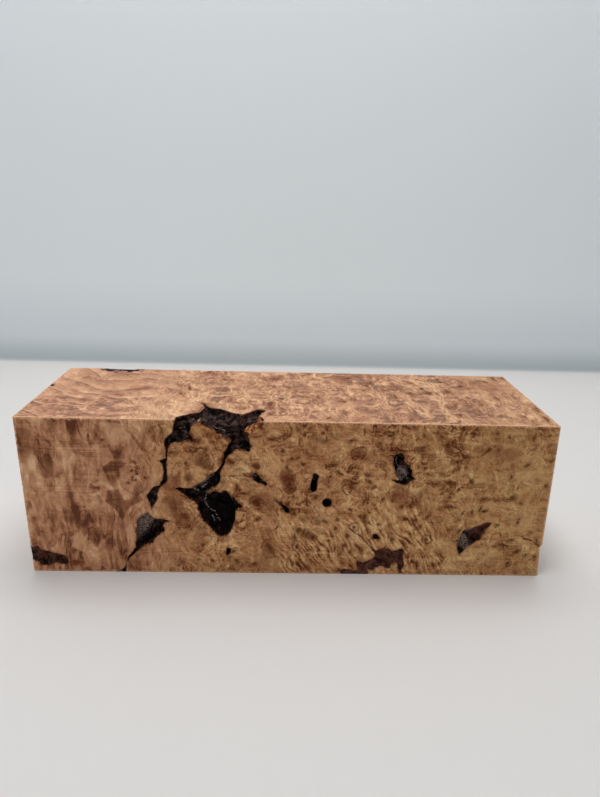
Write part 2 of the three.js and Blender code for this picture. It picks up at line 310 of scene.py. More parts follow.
def rounded(rim, step):
    """A curve through the points of a rim, sampled about every step."""
    closed = np.allclose(rim[0], rim[-1])
    points = rim[:-1] if closed else rim
    count = len(points)
    pieces = []
    for i in range(count if closed else count - 1):
        four = range(i - 1, i + 3)
        pick = [k % count if closed else min(max(k, 0), count - 1) for k in four]
        before, start, end, after = points[pick]
        steps = max(1, int(round(np.linalg.norm(end - start) / step)))
        t = (np.arange(steps) / steps)[:, None]
        slope_in = (end - before) * CURVE_PULL
        slope_out = (after - start) * CURVE_PULL
        blend = eased(t)
        pieces.append(
            start * (1 - blend) + end * blend
            + slope_in * (t * (1 - t) ** 2) - slope_out * (t * t * (1 - t))
        )
    pieces.append(points[:1] if closed else points[-1:])
    return np.concatenate(pieces)


def torn(face, rim):
    """A fine rim pushed about in its face by smooth noise."""
    fine = rounded(rim, RIM_STEP)
    calm = np.clip(face.edge_distance(fine) / TEAR_CALM, 0, 1)
    push = np.zeros_like(fine)
    for size, height in TEAR_SIZES:
        vectors = np.array([noise.noise_vector(Vector(p) / size) for p in face.to_3d(fine)])
        push += height * np.stack([vectors @ face.u, vectors @ face.v], 1)
    moved = fine + push * calm[:, None]
    limit = np.array([face.half_u, face.half_v])
    return np.clip(moved, -limit, limit)


fine_rims = {k: [torn(FACES[k], rim) for rim in rims[k]] for k in rims}
print("fine rim points:", sum(len(rim) for k in fine_rims for rim in fine_rims[k]))


def inside(uv, outlines):
    """Which points lie inside the outlines, by counting crossings to the right."""
    odd = np.zeros(len(uv), bool)
    for outline in outlines:
        lowest, highest = outline.min(0), outline.max(0)
        near = np.flatnonzero(((uv >= lowest) & (uv <= highest)).all(1))
        if not len(near):
            continue
        a = outline
        b = np.roll(outline, -1, 0)
        p = uv[near][:, None]
        spans = (a[:, 1] > p[..., 1]) != (b[:, 1] > p[..., 1])
        rise = np.where(b[:, 1] == a[:, 1], 1, b[:, 1] - a[:, 1])
        cross = a[:, 0] + (p[..., 1] - a[:, 1]) / rise * (b[:, 0] - a[:, 0])
        odd[near] ^= (np.sum(spans & (cross > p[..., 0]), 1) % 2).astype(bool)
    return odd


# %% [markdown]
# ## Eyes, knots and stains
# The eyes are the cut ends of buds: a dark point, often with a thin dark ring. Most are
# scattered by a cell pattern. The large ones and the stains are listed one by one, each as a
# centre, radii and tilt in millimetres, and the facets of the plain wood by their corners.
# The marks are measured at the points of the mesh, so the points must lie closer together
# where the marks are small.

# %% Marks listed one by one
# Each front mark: x, z, radius across, radius up, tilt, strength.
DARK_SPOTS = [
    (-43.2, 27.5, 1.6, 2.6, -10, 0.45), (-54.6, 24.0, 0.8, 2.6, 6, 0.4),
    (-28.9, 31.8, 1.9, 1.6, 0, 0.6), (-24.4, 36.6, 1.9, 2.2, 0, 0.5),
    (-23.5, 34.9, 1.7, 0.8, 25, 0.6), (-33.5, 22.0, 1.6, 3.2, 0, 0.5),
    (-9.9, 23.6, 1.3, 1.6, 10, 0.75), (-3.0, 44.2, 2.6, 0.35, 12, 0.85),
    (1.0, 28.4, 1.6, 1.3, 0, 0.5), (8.6, 43.4, 2.2, 1.3, -20, 0.5),
    (6.0, 13.0, 2.4, 1.4, -15, 0.5), (13.6, 34.4, 1.0, 0.8, 0, 0.5),
    (22.0, 33.2, 0.9, 0.8, 0, 0.75), (24.3, 28.9, 0.8, 0.8, 0, 0.7),
    (12.5, 44.9, 2.6, 1.4, 0, 0.35), (28.0, 45.3, 1.3, 0.7, 15, 0.8),
    (16.4, 9.4, 0.9, 0.8, 0, 0.75), (15.4, 7.0, 0.8, 0.7, 0, 0.7),
    (14.1, 18.3, 0.8, 1.0, 20, 0.75), (19.0, 16.0, 0.7, 0.9, 0, 0.75),
    (23.2, 40.0, 0.7, 0.5, 0, 0.4), (32.6, 22.6, 0.9, 0.7, 0, 0.7),
    (40.4, 20.0, 0.8, 0.9, 0, 0.7), (57.4, 22.2, 1.3, 0.8, 20, 0.8),
    (52.4, 31.6, 1.0, 0.9, 0, 0.7), (45.4, 23.0, 0.7, 0.6, 0, 0.6),
    (45.4, 7.0, 0.9, 0.8, 0, 0.6), (46.5, 37.5, 1.4, 1.2, 0, 0.4),
    (36.5, 41.0, 2.6, 1.5, -10, 0.35), (44.0, 33.5, 1.6, 1.0, -30, 0.4),
    (65.0, 27.0, 0.9, 1.8, -25, 0.45), (67.5, 24.5, 1.0, 0.5, 0, 0.6),
    (66.0, 12.2, 1.3, 0.5, -20, 0.65), (60.0, 35.0, 2.0, 0.6, -15, 0.5),
    (-17.8, 5.4, 1.2, 0.7, 20, 0.6), (2.2, 9.4, 0.7, 0.8, 0, 0.8),
    (8.4, 17.8, 1.0, 1.2, -30, 0.5), (-6.0, 8.6, 1.2, 2.4, 18, 0.55),
    (48.5, 12.0, 1.2, 0.6, 0, 0.4), (37.5, 15.5, 1.1, 0.8, 0, 0.5),
    (-0.4, 30.4, 1.5, 2.8, 8, 0.3), (-5.9, 8.5, 1.9, 2.9, 18, 0.25),
]
# Each reddish stain: the same, on the front.
RED_STAINS = [
    (-63.0, 3.1, 2.4, 1.2, 5, 0.85), (-8.0, 24.0, 5.0, 3.6, -20, 0.6),
    (-0.4, 30.6, 2.1, 3.7, 8, 0.95), (-34.0, 29.5, 3.0, 2.0, 30, 0.5),
    (-29.5, 17.5, 5.5, 3.2, -30, 0.6), (-33.0, 23.5, 4.0, 3.4, 20, 0.55),
    (-26.0, 12.5, 2.2, 5.5, -10, 0.5), (-19.5, 12.0, 2.6, 2.0, 0, 0.35),
    (30.6, 27.0, 0.9, 3.6, -6, 0.8), (33.6, 26.6, 0.8, 4.0, 4, 0.75),
    (32.0, 27.5, 2.4, 3.4, 0, 0.7), (19.2, 39.9, 1.9, 1.9, 0, 0.7),
    (-9.5, 13.0, 7.0, 3.5, -20, 0.22), (10.5, 31.0, 1.8, 1.2, -25, 0.6),
    (-16.8, 44.0, 1.6, 1.6, 0, 0.5), (7.0, 20.0, 3.0, 2.4, 0, 0.3),
    (-6.0, 8.4, 1.8, 2.8, 18, 0.65), (-24.5, 37.2, 2.8, 3.0, 0, 0.5),
    (-43.0, 8.0, 5.0, 2.4, 40, 0.3), (38.6, 26.5, 4.5, 2.2, -10, 0.3),
    (-26.0, 45.5, 4.0, 3.5, 0, 0.25), (60.5, 40.5, 5.5, 2.4, -8, 0.35),
]
# Each ring: the same, drawn as a thin dark line round a spot.
RINGS = [
    (-3.2, 46.4, 3.9, 3.2, 0, 0.6), (16.6, 28.4, 1.4, 1.4, 0, 0.7),
    (19.2, 39.9, 2.1, 2.1, 0, 0.8), (41.0, 12.7, 1.6, 1.5, 0, 0.75),
    (2.3, 9.5, 1.3, 1.4, 0, 0.6), (-0.4, 30.5, 2.3, 3.8, 8, 0.6),
    (25.7, 36.2, 1.6, 1.3, 0, 0.5), (-24.4, 37.0, 3.0, 3.3, 0, 0.75),
    (-9.8, 23.6, 1.9, 2.1, 0, 0.6), (19.0, 16.2, 1.3, 1.4, 0, 0.5),
    (-5.9, 8.5, 2.1, 3.3, 18, 0.5), (66.0, 4.6, 1.2, 1.3, 0, 0.6),
    (-44.5, 30.5, 4.0, 4.2, 0, 0.3), (12.5, 21.0, 1.6, 1.9, 25, 0.4),
    (-28.9, 31.8, 3.3, 3.0, 0, 0.5), (-28.6, 32.2, 5.2, 4.8, 0, 0.4),
]
# Each pin-sized eye: x, z, radius.
PIN_EYES = [
    (-45.6, 29.4, 0.42), (-44.4, 31.2, 0.36), (-43.4, 32.2, 0.4), (-43.8, 30.4, 0.3),
    (-42.8, 28.9, 0.3), (-41.0, 31.0, 0.36), (-44.8, 33.4, 0.5), (-44.0, 36.0, 0.42),
    (-41.4, 34.6, 0.3), (-52.3, 42.6, 0.42), (-54.0, 44.2, 0.36), (-29.7, 35.9, 0.42),
    (-28.6, 33.4, 0.32), (0.0, 30.0, 0.5), (-2.4, 40.2, 0.5), (0.6, 37.6, 0.36),
    (9.2, 45.8, 0.5), (19.4, 38.8, 0.45), (3.6, 35.8, 0.5), (-0.6, 34.9, 0.4),
    (41.0, 12.7, 0.55), (52.0, 31.5, 0.5), (36.0, 24.3, 0.4), (33.4, 18.8, 0.45),
    (49.0, 29.0, 0.42), (61.8, 17.6, 0.42), (50.5, 20.7, 0.36), (43.7, 27.3, 0.36),
    (26.0, 17.4, 0.42), (23.3, 21.0, 0.36), (66.0, 4.6, 0.5), (62.0, 45.3, 0.36),
    (11.7, 11.8, 0.42), (-25.2, 9.4, 0.42), (17.3, 21.8, 0.42), (31.0, 24.0, 0.32),
]
# Each pale patch: x, z, radius across, radius up, tilt, strength.
PALE_PATCHES = [
    (-26.2, 46.2, 2.0, 3.2, 10, 0.7), (-9.0, 28.2, 1.5, 0.7, 0, 1.0),
    (25.7, 36.6, 0.8, 0.45, 0, 1.0), (-26.0, 33.0, 2.2, 1.6, 0, 0.4),
    (7.0, 24.0, 1.2, 1.6, 0, 0.6), (10.6, 22.9, 1.2, 0.5, 0, 0.7),
    (-50.0, 17.0, 2.2, 4.0, -12, 0.5), (-52.0, 20.0, 1.2, 4.0, 6, 0.4),
    (58.0, 7.0, 4.5, 3.5, 20, 0.55), (49.0, 2.5, 5.0, 2.0, 0, 0.5),
    (20.0, 12.0, 3.5, 2.0, -40, 0.5), (-3.0, 3.0, 4.0, 2.0, 0, 0.4),
    (67.0, 34.0, 3.5, 4.0, 0, 0.35), (70.0, 20.0, 2.5, 6.0, 0, 0.35),
    (-36.0, 4.0, 4.0, 3.0, 0, 0.35), (-14.0, 34.5, 4.0, 3.5, 20, 0.5),
    (37.5, 28.5, 2.2, 1.2, 0, 0.3), (50.0, 33.5, 3.0, 1.2, 10, 0.35),
    (-62.5, 7.5, 3.0, 3.0, 0, 0.35), (-4.0, 25.5, 2.0, 2.2, 0, 0.3),
]
# Each top mark: x, y, radius along, radius back, tilt, strength.
TOP_SPOTS = [
    (-2.7, -5.0, 1.1, 1.1, 0, 0.8), (43.5, 8.0, 1.2, 1.4, -20, 0.85),
    (57.0, 11.5, 1.1, 1.3, 0, 0.8), (51.0, 19.0, 0.9, 1.5, 0, 0.7),
    (24.5, -20.0, 0.9, 0.6, 0, 0.7), (35.0, 9.0, 3.4, 4.5, 10, 0.5),
    (14.5, 4.5, 1.6, 0.9, 10, 0.5), (-5.0, 16.0, 2.0, 2.5, 0, 0.5),
    (30.5, 7.0, 1.2, 3.0, 0, 0.45), (-46.0, 3.0, 2.6, 2.2, 20, 0.4),
    (-67.0, 13.0, 1.4, 1.8, 0, 0.4), (12.0, 18.0, 1.2, 4.0, 0, 0.3),
    (64.0, 17.0, 3.0, 4.0, 0, 0.3), (-52.0, -4.0, 2.2, 1.4, 0, 0.4),
]
TOP_STAINS = [
    (18.0, 17.0, 3.2, 3.0, 0, 0.6), (-5.0, 16.0, 3.4, 3.8, 0, 0.5),
    (-28.0, 20.0, 3.5, 3.5, 0, 0.5), (-47.0, 3.0, 4.0, 3.0, 0, 0.35),
    (66.0, 12.0, 7.0, 7.0, 0, 0.3), (-61.0, -8.0, 2.4, 1.6, 0, 0.5),
    (68.0, 9.0, 1.8, 1.8, 0, 0.4),
]
TOP_RINGS = [
    (-2.7, -5.0, 1.9, 1.9, 0, 0.5), (-5.0, 16.0, 3.4, 3.6, 0, 0.5),
    (18.0, 17.0, 3.4, 3.4, 0, 0.4), (-3.5, -18.0, 2.4, 1.8, 0, 0.6),
    (14.5, 4.5, 3.0, 2.0, 0, 0.3),
]
# Each facet of the plain wood that looks dark or pale as a whole: how much paler it is,
# below zero where darker, then its corners.
FACETS = [
    (-0.62, [(-75.5, 46), (-72, 45.5), (-70, 44.5), (-70.5, 41.5), (-72, 38.5), (-74, 35.5),
             (-76, 35), (-76, 41)]),
    (-0.5, [(-67, 48), (-64.5, 48), (-64, 44), (-64.5, 42), (-66.5, 45)]),
    (-0.62, [(-68.5, 38), (-66.5, 37), (-65.5, 34.5), (-65, 30.5), (-69, 30.5), (-71.5, 32.5),
             (-71.5, 34.5)]),
    (-1.0, [(-53, 34), (-50.5, 36), (-47.5, 36.5), (-46, 35.5), (-47.5, 34), (-49.5, 33),
             (-52.5, 32.5)]),
    (-0.62, [(-53, 32.5), (-48.5, 32), (-49, 29), (-50.5, 28), (-53, 30.5)]),
    (-1.0, [(-52, 27), (-49, 27.5), (-47.5, 24), (-45.5, 24.5), (-43.5, 26.5), (-42, 24),
           (-46, 22), (-48.5, 17.5), (-50, 20.5), (-53, 23.5)]),
    (-0.5, [(-70, 24.5), (-68.5, 20.5), (-69.5, 17), (-70.8, 23.5)]),
    (-0.5, [(-64, 32.5), (-62.5, 33), (-62, 24), (-60.5, 21), (-61.5, 13.5), (-63, 24)]),
    (-0.6, [(-58, 26), (-56.5, 25), (-57, 22.5), (-58.5, 23)]),
    (-0.55, [(-60, 17), (-58, 16.5), (-58, 13), (-60, 12.5)]),
    (-0.7, [(-45, 45.5), (-43.5, 44.5), (-41, 40.5), (-37.5, 37.5), (-42, 40)]),
    (-0.6, [(-55.5, 34), (-53.5, 33.5), (-54.5, 30), (-55.7, 30.5)]),
    (-0.5, [(-60, 47), (-58, 46.5), (-58.5, 44), (-59.5, 44.5)]),
    (-0.5, [(-61, 31.5), (-58.5, 32), (-59.5, 28), (-61, 28.5)]),
    (-0.45, [(-51, 13), (-49.5, 14.5), (-50, 11), (-52, 8)]),
    (-0.85, [(-65.5, 3), (-63, 4), (-61, 3.2), (-65, 1.8)]),
    (-0.5, [(-74.5, 17), (-73, 15.5), (-73, 12), (-75, 12.5)]),
    (-0.5, [(-58, 37.5), (-55.5, 38.5), (-56.5, 34.5), (-58, 34.5)]),
    (-0.4, [(-49, 39.5), (-46, 41), (-46, 37), (-49.5, 36.5)]),
    (-0.55, [(-53.5, 48.5), (-52.3, 48.5), (-53.2, 42.5), (-54.5, 43)]),
    (0.7, [(-64, 11.5), (-61, 14), (-59, 10.5), (-60.5, 6.5), (-64, 8.5)]),
    (0.5, [(-70, 27.5), (-64, 28), (-64, 22), (-66.5, 20), (-69.5, 24.5)]),
    (0.5, [(-52.5, 48), (-46, 47.5), (-46, 42.5), (-48, 41), (-52.5, 41.5)]),
    (0.4, [(-47.5, 15), (-45, 13), (-45.5, 7.5), (-48, 5)]),
    (0.5, [(-55, 41), (-51, 41.5), (-49.5, 37), (-52.5, 34.5)]),
]
FACET_BLUR = 0.7
# Each hair crack: x, z of one end, then of the other.
FRONT_CRACKS = [
    (26.1, 7.2, 20.9, 13.4), (20.9, 13.4, 17.6, 15.6), (27.8, 8.9, 29.5, 14.3),
    (23.2, 18.0, 24.2, 16.2), (-48.4, 4.0, -49.2, 0.6),
    (75.5, 10.3, 69.0, 13.6), (-15.6, 21.2, -12.6, 20.6),
    (-13.5, 33.2, -11.0, 31.8), (-4.5, 25.4, -2.5, 22.9), (62.8, 14.6, 64.2, 10.2),
]
TOP_CRACKS = [(-26.8, -10.0, -28.4, -8.6)]
# Each glint, a painted highlight drawn as a pale line on the black bark: x, z of its ends.
GLINTS = [
    (-23.3, 26.8, -24.6, 25.2), (-24.6, 25.2, -24.9, 22.8), (-24.9, 22.8, -24.2, 20.8),
    (-23.6, 20.2, -22.0, 19.6), (-21.8, 18.6, -20.4, 16.2), (-22.8, 17.8, -21.9, 16.0),
    (-18.9, 27.0, -17.6, 24.6), (-17.6, 24.6, -17.2, 22.8), (-26.2, 28.6, -23.6, 30.4),
    (-23.6, 30.4, -21.8, 31.8), (-25.4, 27.6, -23.8, 28.6), (-27.6, 27.4, -26.4, 26.2),
    (-31.0, 46.4, -29.6, 47.6), (-21.0, 47.2, -18.6, 46.0), (-16.0, 46.8, -14.6, 45.2),
    (-21.4, 48.4, -19.2, 47.8), (30.6, 37.6, 31.3, 35.2), (31.3, 35.2, 33.4, 33.6),
    (33.4, 33.6, 34.2, 31.6), (29.9, 31.9, 31.0, 31.1), (31.0, 31.1, 32.8, 31.2),
    (-10.4, 32.3, -9.6, 31.2), (6.6, 32.6, 6.9, 30.4), (5.6, 28.4, 5.9, 27.6),
    (52.6, 14.2, 54.8, 15.4), (51.4, 12.0, 53.2, 12.9),
]

# %% Measuring the marks
POINT_SEED = 7
rng = np.random.default_rng(POINT_SEED)
# The places of two faces in the list of faces.
FRONT, TOP = 0, 4
PIN_MARKS = [(x, z, radius, radius, 0, 1.0) for x, z, radius in PIN_EYES]
MARKS = {
    "dark": {FRONT: DARK_SPOTS, TOP: TOP_SPOTS},
    "red": {FRONT: RED_STAINS, TOP: TOP_STAINS},
    "pale": {FRONT: PALE_PATCHES},
    "pin": {FRONT: PIN_MARKS},
    "ring": {FRONT: RINGS, TOP: TOP_RINGS},
}
CRACKS = {FRONT: FRONT_CRACKS, TOP: TOP_CRACKS}


def seen(index, uv):
    """Face coordinates as the marks are given: the front's heights start at the foot."""
    return uv + (0, HALF_SECTION) if index == FRONT else uv


def far_from(uv, mark):
    """Distance from a mark's centre in units of its radii: 1 on its outline."""
    x, other, wide, high, tilt, _ = mark
    cos, sin = math.cos(math.radians(tilt)), math.sin(math.radians(tilt))
    du, dv = uv[:, 0] - x, uv[:, 1] - other
    return np.hypot((du * cos + dv * sin) / wide, (dv * cos - du * sin) / high)


def outline_share(uv, outline, blur):
    """1 inside an outline, 0 outside, with a short blur between."""
    outline = np.array(outline, float)
    loop = np.concatenate([outline, outline[:1]])
    gap = distances(tree_of(dense(dense(loop))), uv)
    return np.clip(0.5 + np.where(inside(uv, [outline]), gap, -gap) / blur, 0, 1)


CRACK_WAVE = 1.9
CRACK_WANDER = 0.5


def crack_points(crack, step):
    """Points along a hair crack, which wanders a little between its ends."""
    start, end = np.array(crack[:2]), np.array(crack[2:])
    length = np.linalg.norm(end - start)
    shares = np.linspace(0, 1, max(3, int(length / step)))[:, None]
    across = np.array([start[1] - end[1], end[0] - start[0]]) / length
    line = start * (1 - shares) + end * shares
    wander = [noise.noise(Vector((*point, 5.0)) / CRACK_WAVE) for point in line]
    bow = across * np.array(wander)[:, None] * CRACK_WANDER * np.sin(math.pi * shares)
    return line + bow


def along_loop(loop, step):
    """Points every step along a loop of straight lines."""
    pieces = []
    for start, end in zip(loop[:-1], loop[1:]):
        count = max(1, int(np.linalg.norm(end - start) / step))
        pieces.append(start + (end - start) * (np.arange(count) / count)[:, None])
    return np.concatenate(pieces)


# For each kind of small mark: the step between its points, and their reach in radii.
SPREAD = {"dark": (0.42, 1.35), "pin": (0.2, 1.5), "ring": (0.3, 1.3)}
CRACK_STEP, CRACK_SIDE = 0.3, 0.22
FACET_STEP, FACET_SIDE = 0.4, 0.3
MARK_JITTER = 0.2
RING_BAND = 0.5


def mark_points(index):
    """Extra points of a face round its small marks."""
    found = []
    for kind, (step, reach) in SPREAD.items():
        for mark in MARKS[kind].get(index, []):
            centre = np.array(mark[:2])
            half = np.full(2, max(mark[2:4]) * reach)
            u, v = np.meshgrid(*(np.arange(-h, h, step) for h in half))
            uv = centre + np.stack([u.ravel(), v.ravel()], 1)
            uv += rng.uniform(-MARK_JITTER, MARK_JITTER, uv.shape) * step
            far = far_from(uv, mark)
            least = 1 - RING_BAND / min(mark[2:4]) if kind == "ring" else 0.0
            found.append(uv[(far < reach) & (far > least)])
    for crack in CRACKS.get(index, []):
        line = crack_points(crack, CRACK_STEP)
        found += [line, line + (0.0, CRACK_SIDE), line - (0.0, CRACK_SIDE)]
    for _, outline in FACETS if index == FRONT else []:
        loop = np.array([*outline, outline[0]], float)
        line = along_loop(loop, FACET_STEP)
        found += [line + (FACET_SIDE, 0.0), line - (FACET_SIDE, 0.0)]
    if not found:
        return np.zeros((0, 2))
    return np.concatenate(found) - seen(index, np.zeros((1, 2)))


print("marks:", {kind: sum(map(len, MARKS[kind].values())) for kind in MARKS})

# %% [markdown]
# ## Points for the fine mesh
# The sawn faces need few points, the pockets many, and the rims the most, because a wall
# is steep. A grid cut by the pockets would leave slivers, so the points are set freely:
# a jittered grid on the wood, a finer one in the pockets, rows along the rims, and rows
# along the arrises. A triangulation that keeps the rims as edges then joins them.

# %% Points along the arrises
WOOD_STEP = 0.86
POCKET_STEP = 0.27
ARRIS_STEP = 0.36
ARRIS_ROW = 0.22
JITTER = 0.28
WALL_ROWS = (0.1, 0.22)
# How far loose points keep from an arris, from a rim, and from the points of a mark.
ARRIS_CLEAR, MARK_ARRIS_CLEAR, LOOSE_CLEAR = 0.6, 0.25, 0.1
RIM_CLEAR, WALL_ROW_CLEAR = 0.3, 0.08
MARK_CLEAR = WOOD_STEP / 2


def arris_line(a, b):
    """Middle, direction and half length of the arris between two faces."""
    middle = MIDDLE + sum(face.out * half_along(face.out) for face in (a, b))
    along = np.cross(a.out, b.out)
    return middle, along, half_along(along)


def arris_ends(a, b):
    """Places along an arris where the rims of face a meet it."""
    middle, along, _ = arris_line(a, b)
    places = []
    for rim in fine_rims[FACES.index(a)]:
        for end in (rim[0], rim[-1]):
            offset = a.to_3d(end)[0] - middle
            across = offset - along * (offset @ along)
            if np.linalg.norm(across) < ON_FACE:
                places.append(offset @ along)
    return places


def arris_points(a, b):
    """Points along an arris: even steps, and every place where a rim meets it."""
    middle, along, half = arris_line(a, b)
    count = int(round(2 * half / ARRIS_STEP))
    even = np.linspace(-half, half, count + 1)
    ends = np.array(sorted(set(np.round(arris_ends(a, b), 4))))
    if len(ends):
        gap = abs(even[:, None] - ends[None]).min(1)
        keep = (gap > ARRIS_STEP / 3) | (abs(even) == half)
        even = np.concatenate([even[keep], ends])
    return middle + np.sort(even)[:, None] * along


arrises = {}
for i, a in enumerate(FACES):
    for j, b in enumerate(FACES):
        if i < j and abs(a.out @ b.out) < 0.5:
            arrises[i, j] = arris_points(a, b)
print("arris points:", sum(len(points) for points in arrises.values()))

# %% Points on one face
def jittered_grid(lowest, highest, step):
    """A grid of points between two corners, each moved a little at random."""
    count_u = max(1, int((highest[0] - lowest[0]) / step))
    count_v = max(1, int((highest[1] - lowest[1]) / step))
    u, v = np.meshgrid(
        lowest[0] + (np.arange(count_u) + 0.5) * (highest[0] - lowest[0]) / count_u,
        lowest[1] + (np.arange(count_v) + 0.5) * (highest[1] - lowest[1]) / count_v,
    )
    uv = np.stack([u.ravel(), v.ravel()], 1)
    return uv + rng.uniform(-JITTER, JITTER, uv.shape) * step


def tree_of(points):
    tree = kdtree.KDTree(len(points))
    for i, point in enumerate(points):
        tree.insert((*point, 0.0) if len(point) == 2 else point, i)
    tree.balance()
    return tree


def distances(tree, points):
    return np.array([tree.find((*p, 0.0) if len(p) == 2 else p)[2] for p in points])


def dense(rim):
    """A rim with extra points along it, for measuring distances from it."""
    shares = np.arange(4)[:, None, None] / 4
    return (rim[:-1] * (1 - shares) + rim[1:] * shares).reshape(-1, 2)


def wall_rows(rim, outlines):
    """Two rows of points just inside a pocket's rim, where its wall goes down."""
    middle = (rim[:-1] + rim[1:]) / 2
    run = rim[1:] - rim[:-1]
    length = np.maximum(np.linalg.norm(run, axis=1), 1e-9)[:, None]
    across = np.stack([-run[:, 1], run[:, 0]], 1) / length
    rows = [middle + across * reach * side for reach in WALL_ROWS for side in (1, -1)]
    points = np.concatenate(rows)
    return points[inside(points, outlines)]


def face_points(index):
    """All points of a face, and the edges that its triangles have to keep."""
    face = FACES[index]
    outlines = fine_rims[index]
    borders = [face.to_2d(points) for pair, points in arrises.items() if index in pair]
    fixed = [*borders, *outlines]
    keep = []
    first = 0
    for line in fixed:
        keep += [(first + i, first + i + 1) for i in range(len(line) - 1)]
        first += len(line)
    limit = np.array([face.half_u, face.half_v])
    wood = jittered_grid(-limit, limit, WOOD_STEP)
    wood = wood[face.edge_distance(wood) > ARRIS_CLEAR]
    row = np.clip(np.concatenate(borders)[::2], -limit + ARRIS_ROW, limit - ARRIS_ROW)
    close = mark_points(index)
    if len(close):
        wood = wood[distances(tree_of(close), wood) > MARK_CLEAR]
        close = close[face.edge_distance(close) > MARK_ARRIS_CLEAR]
    wood = np.concatenate([wood, row, close])
    if not outlines:
        return np.concatenate([*fixed, wood]), keep
    rim_tree = tree_of(np.concatenate([dense(rim) for rim in outlines]))
    wood = wood[~inside(wood, outlines)]
    wood = wood[distances(rim_tree, wood) > RIM_CLEAR]
    loose = [wood]
    for rim in outlines:
        floor = jittered_grid(rim.min(0), rim.max(0), POCKET_STEP)
        floor = floor[inside(floor, [rim]) & inside(floor, outlines)]
        if len(floor):
            loose.append(floor[distances(rim_tree, floor) > RIM_CLEAR])
        wall = wall_rows(rim, outlines)
        if len(wall):
            loose.append(wall[distances(rim_tree, wall) > WALL_ROW_CLEAR])
    loose = np.concatenate(loose)
    loose = loose[face.edge_distance(loose) > LOOSE_CLEAR]
    return np.concatenate([*fixed, loose]), keep


# %% Triangulate every face
SAME_PLACE = 1e-3


def triangulate(index):
    """Points and triangles of one face in its own coordinates, wound so that they face out."""
    places, keep = face_points(index)
    flat = [Vector(place) for place in places]
    result = delaunay_2d_cdt(flat, keep, [], 0, SAME_PLACE)
    uv = np.array([tuple(place) for place in result[0]])
    return uv, np.array(result[2])


patches = [triangulate(k) for k in range(len(FACES))]
for face, (uv, triangles) in zip(FACES, patches):
    print(face.name, len(uv), "points", len(triangles), "triangles")

# %% [markdown]
# ## Joining the faces
# The six patches share their arris points exactly, so welding by place closes the box.
# Each point is still on the flat box. What happens to it next depends on three things
# that are worked out here: whether it lies in a pocket, how far it is from the nearest
# rim, and which way is into the wood.

# %% Weld the patches
WELD_DIGITS = 4


def weld(patches):
    """One list of places and triangles. Also the box face of each place and triangle."""
    places, homes, triangles, sides, corners_uv = [], [], [], [], []
    first = 0
    for index, (uv, faces) in enumerate(patches):
        places.append(FACES[index].to_3d(uv))
        homes.append(np.full(len(uv), index))
        triangles.append(faces + first)
        sides.append(np.full(len(faces), index))
        corners_uv.append(uv[faces])
        first += len(uv)
    places = np.concatenate(places)
    _, first_of, same = np.unique(
        np.round(places, WELD_DIGITS), axis=0, return_index=True, return_inverse=True
    )
    welded = same.reshape(-1)[np.concatenate(triangles)]
    a, b, c = welded.T
    whole = (a != b) & (b != c) & (c != a)
    return (
        places[first_of], np.concatenate(homes)[first_of], welded[whole],
        np.concatenate(sides)[whole], np.concatenate(corners_uv)[whole],
    )


flat_places, homes, triangles, sides, corners_uv = weld(patches)
print("welded:", len(flat_places), "points,", len(triangles), "triangles")

# %% Which points are in a pocket
ON_RIM = 0.03
NUDGE = 0.02
rim_points = np.concatenate([
    FACES[k].to_3d(dense(rim)) for k in fine_rims for rim in fine_rims[k]
])
rim_tree_3d = tree_of(rim_points)
rim_gap = distances(rim_tree_3d, flat_places)
on_arris = sum(face.holds(flat_places) for face in FACES) > 1


def in_pocket():
    """True for each place that lies strictly inside a pocket's rim."""
    found = np.zeros(len(flat_places), bool)
    for index, face in enumerate(FACES):
        if not fine_rims[index]:
            continue
        mine = np.flatnonzero(face.holds(flat_places))
        uv = face.to_2d(flat_places[mine])
        nudged = uv * (1 - NUDGE / np.array([face.half_u, face.half_v]))
        found[mine] |= inside(nudged, fine_rims[index])
    return found & (rim_gap > ON_RIM)


pocketed = in_pocket()
bark_arris = pocketed & on_arris
print("in pockets:", pocketed.sum(), "of them on an arris:", bark_arris.sum())

# %% [markdown]
# ## Raw wood inside the pockets
# Two places are hollow but show wood, not bark: a splinter broken out at the right end of
# the bark on the front arris, and the worn top of the island between its two lobes. In a
# third place it is the other way round: a thin skin of bark lies level with the sawn face.

# %% Raw wood
RAW_WOOD = {
    "chip": {
        FRONT: [(-12.9, 45.8), (-12.5, 47.2), (-12.0, 48.6), (-11.4, 49.2), (-7.6, 49.2),
                (-8.4, 48.2), (-9.9, 46.6), (-11.2, 45.3)],
        TOP: [(-11.4, -24.7), (-10.7, -22.9), (-9.3, -21.0), (-8.1, -21.2), (-7.7, -23.0),
              (-7.6, -24.7)],
    },
    "island": {
        FRONT: [(-28.2, 44.5), (-27.9, 46.3), (-27.4, 47.6), (-26.6, 48.5), (-25.4, 48.8),
                (-24.7, 48.0), (-23.6, 47.3), (-22.2, 46.4), (-20.6, 45.3), (-19.0, 44.2),
                (-20.0, 42.0), (-27.0, 42.0)],
    },
    "skin": {
        FRONT: [(15.6, -1.0), (15.8, 1.5), (18.5, 1.4), (21.5, 1.5), (21.5, 0.0), (23.8, 1.0),
                (23.8, -1.0)],
    },
}
RAW_BLUR = 0.5


def raw_marks(outlines):
    """1 inside the outlines, 0 outside, with a short blur between."""
    marks = np.zeros(len(flat_places))
    for index, outline in outlines.items():
        face = FACES[index]
        on_face = np.flatnonzero(face.holds(flat_places))
        uv = seen(index, face.to_2d(flat_places[on_face]))
        found = outline_share(uv, outline, RAW_BLUR)
        marks[on_face] = np.maximum(marks[on_face], found)
    return marks


raw = {name: raw_marks(outlines) for name, outlines in RAW_WOOD.items()}
print("raw wood points:", {name: int((marks > 0.5).sum()) for name, marks in raw.items()})

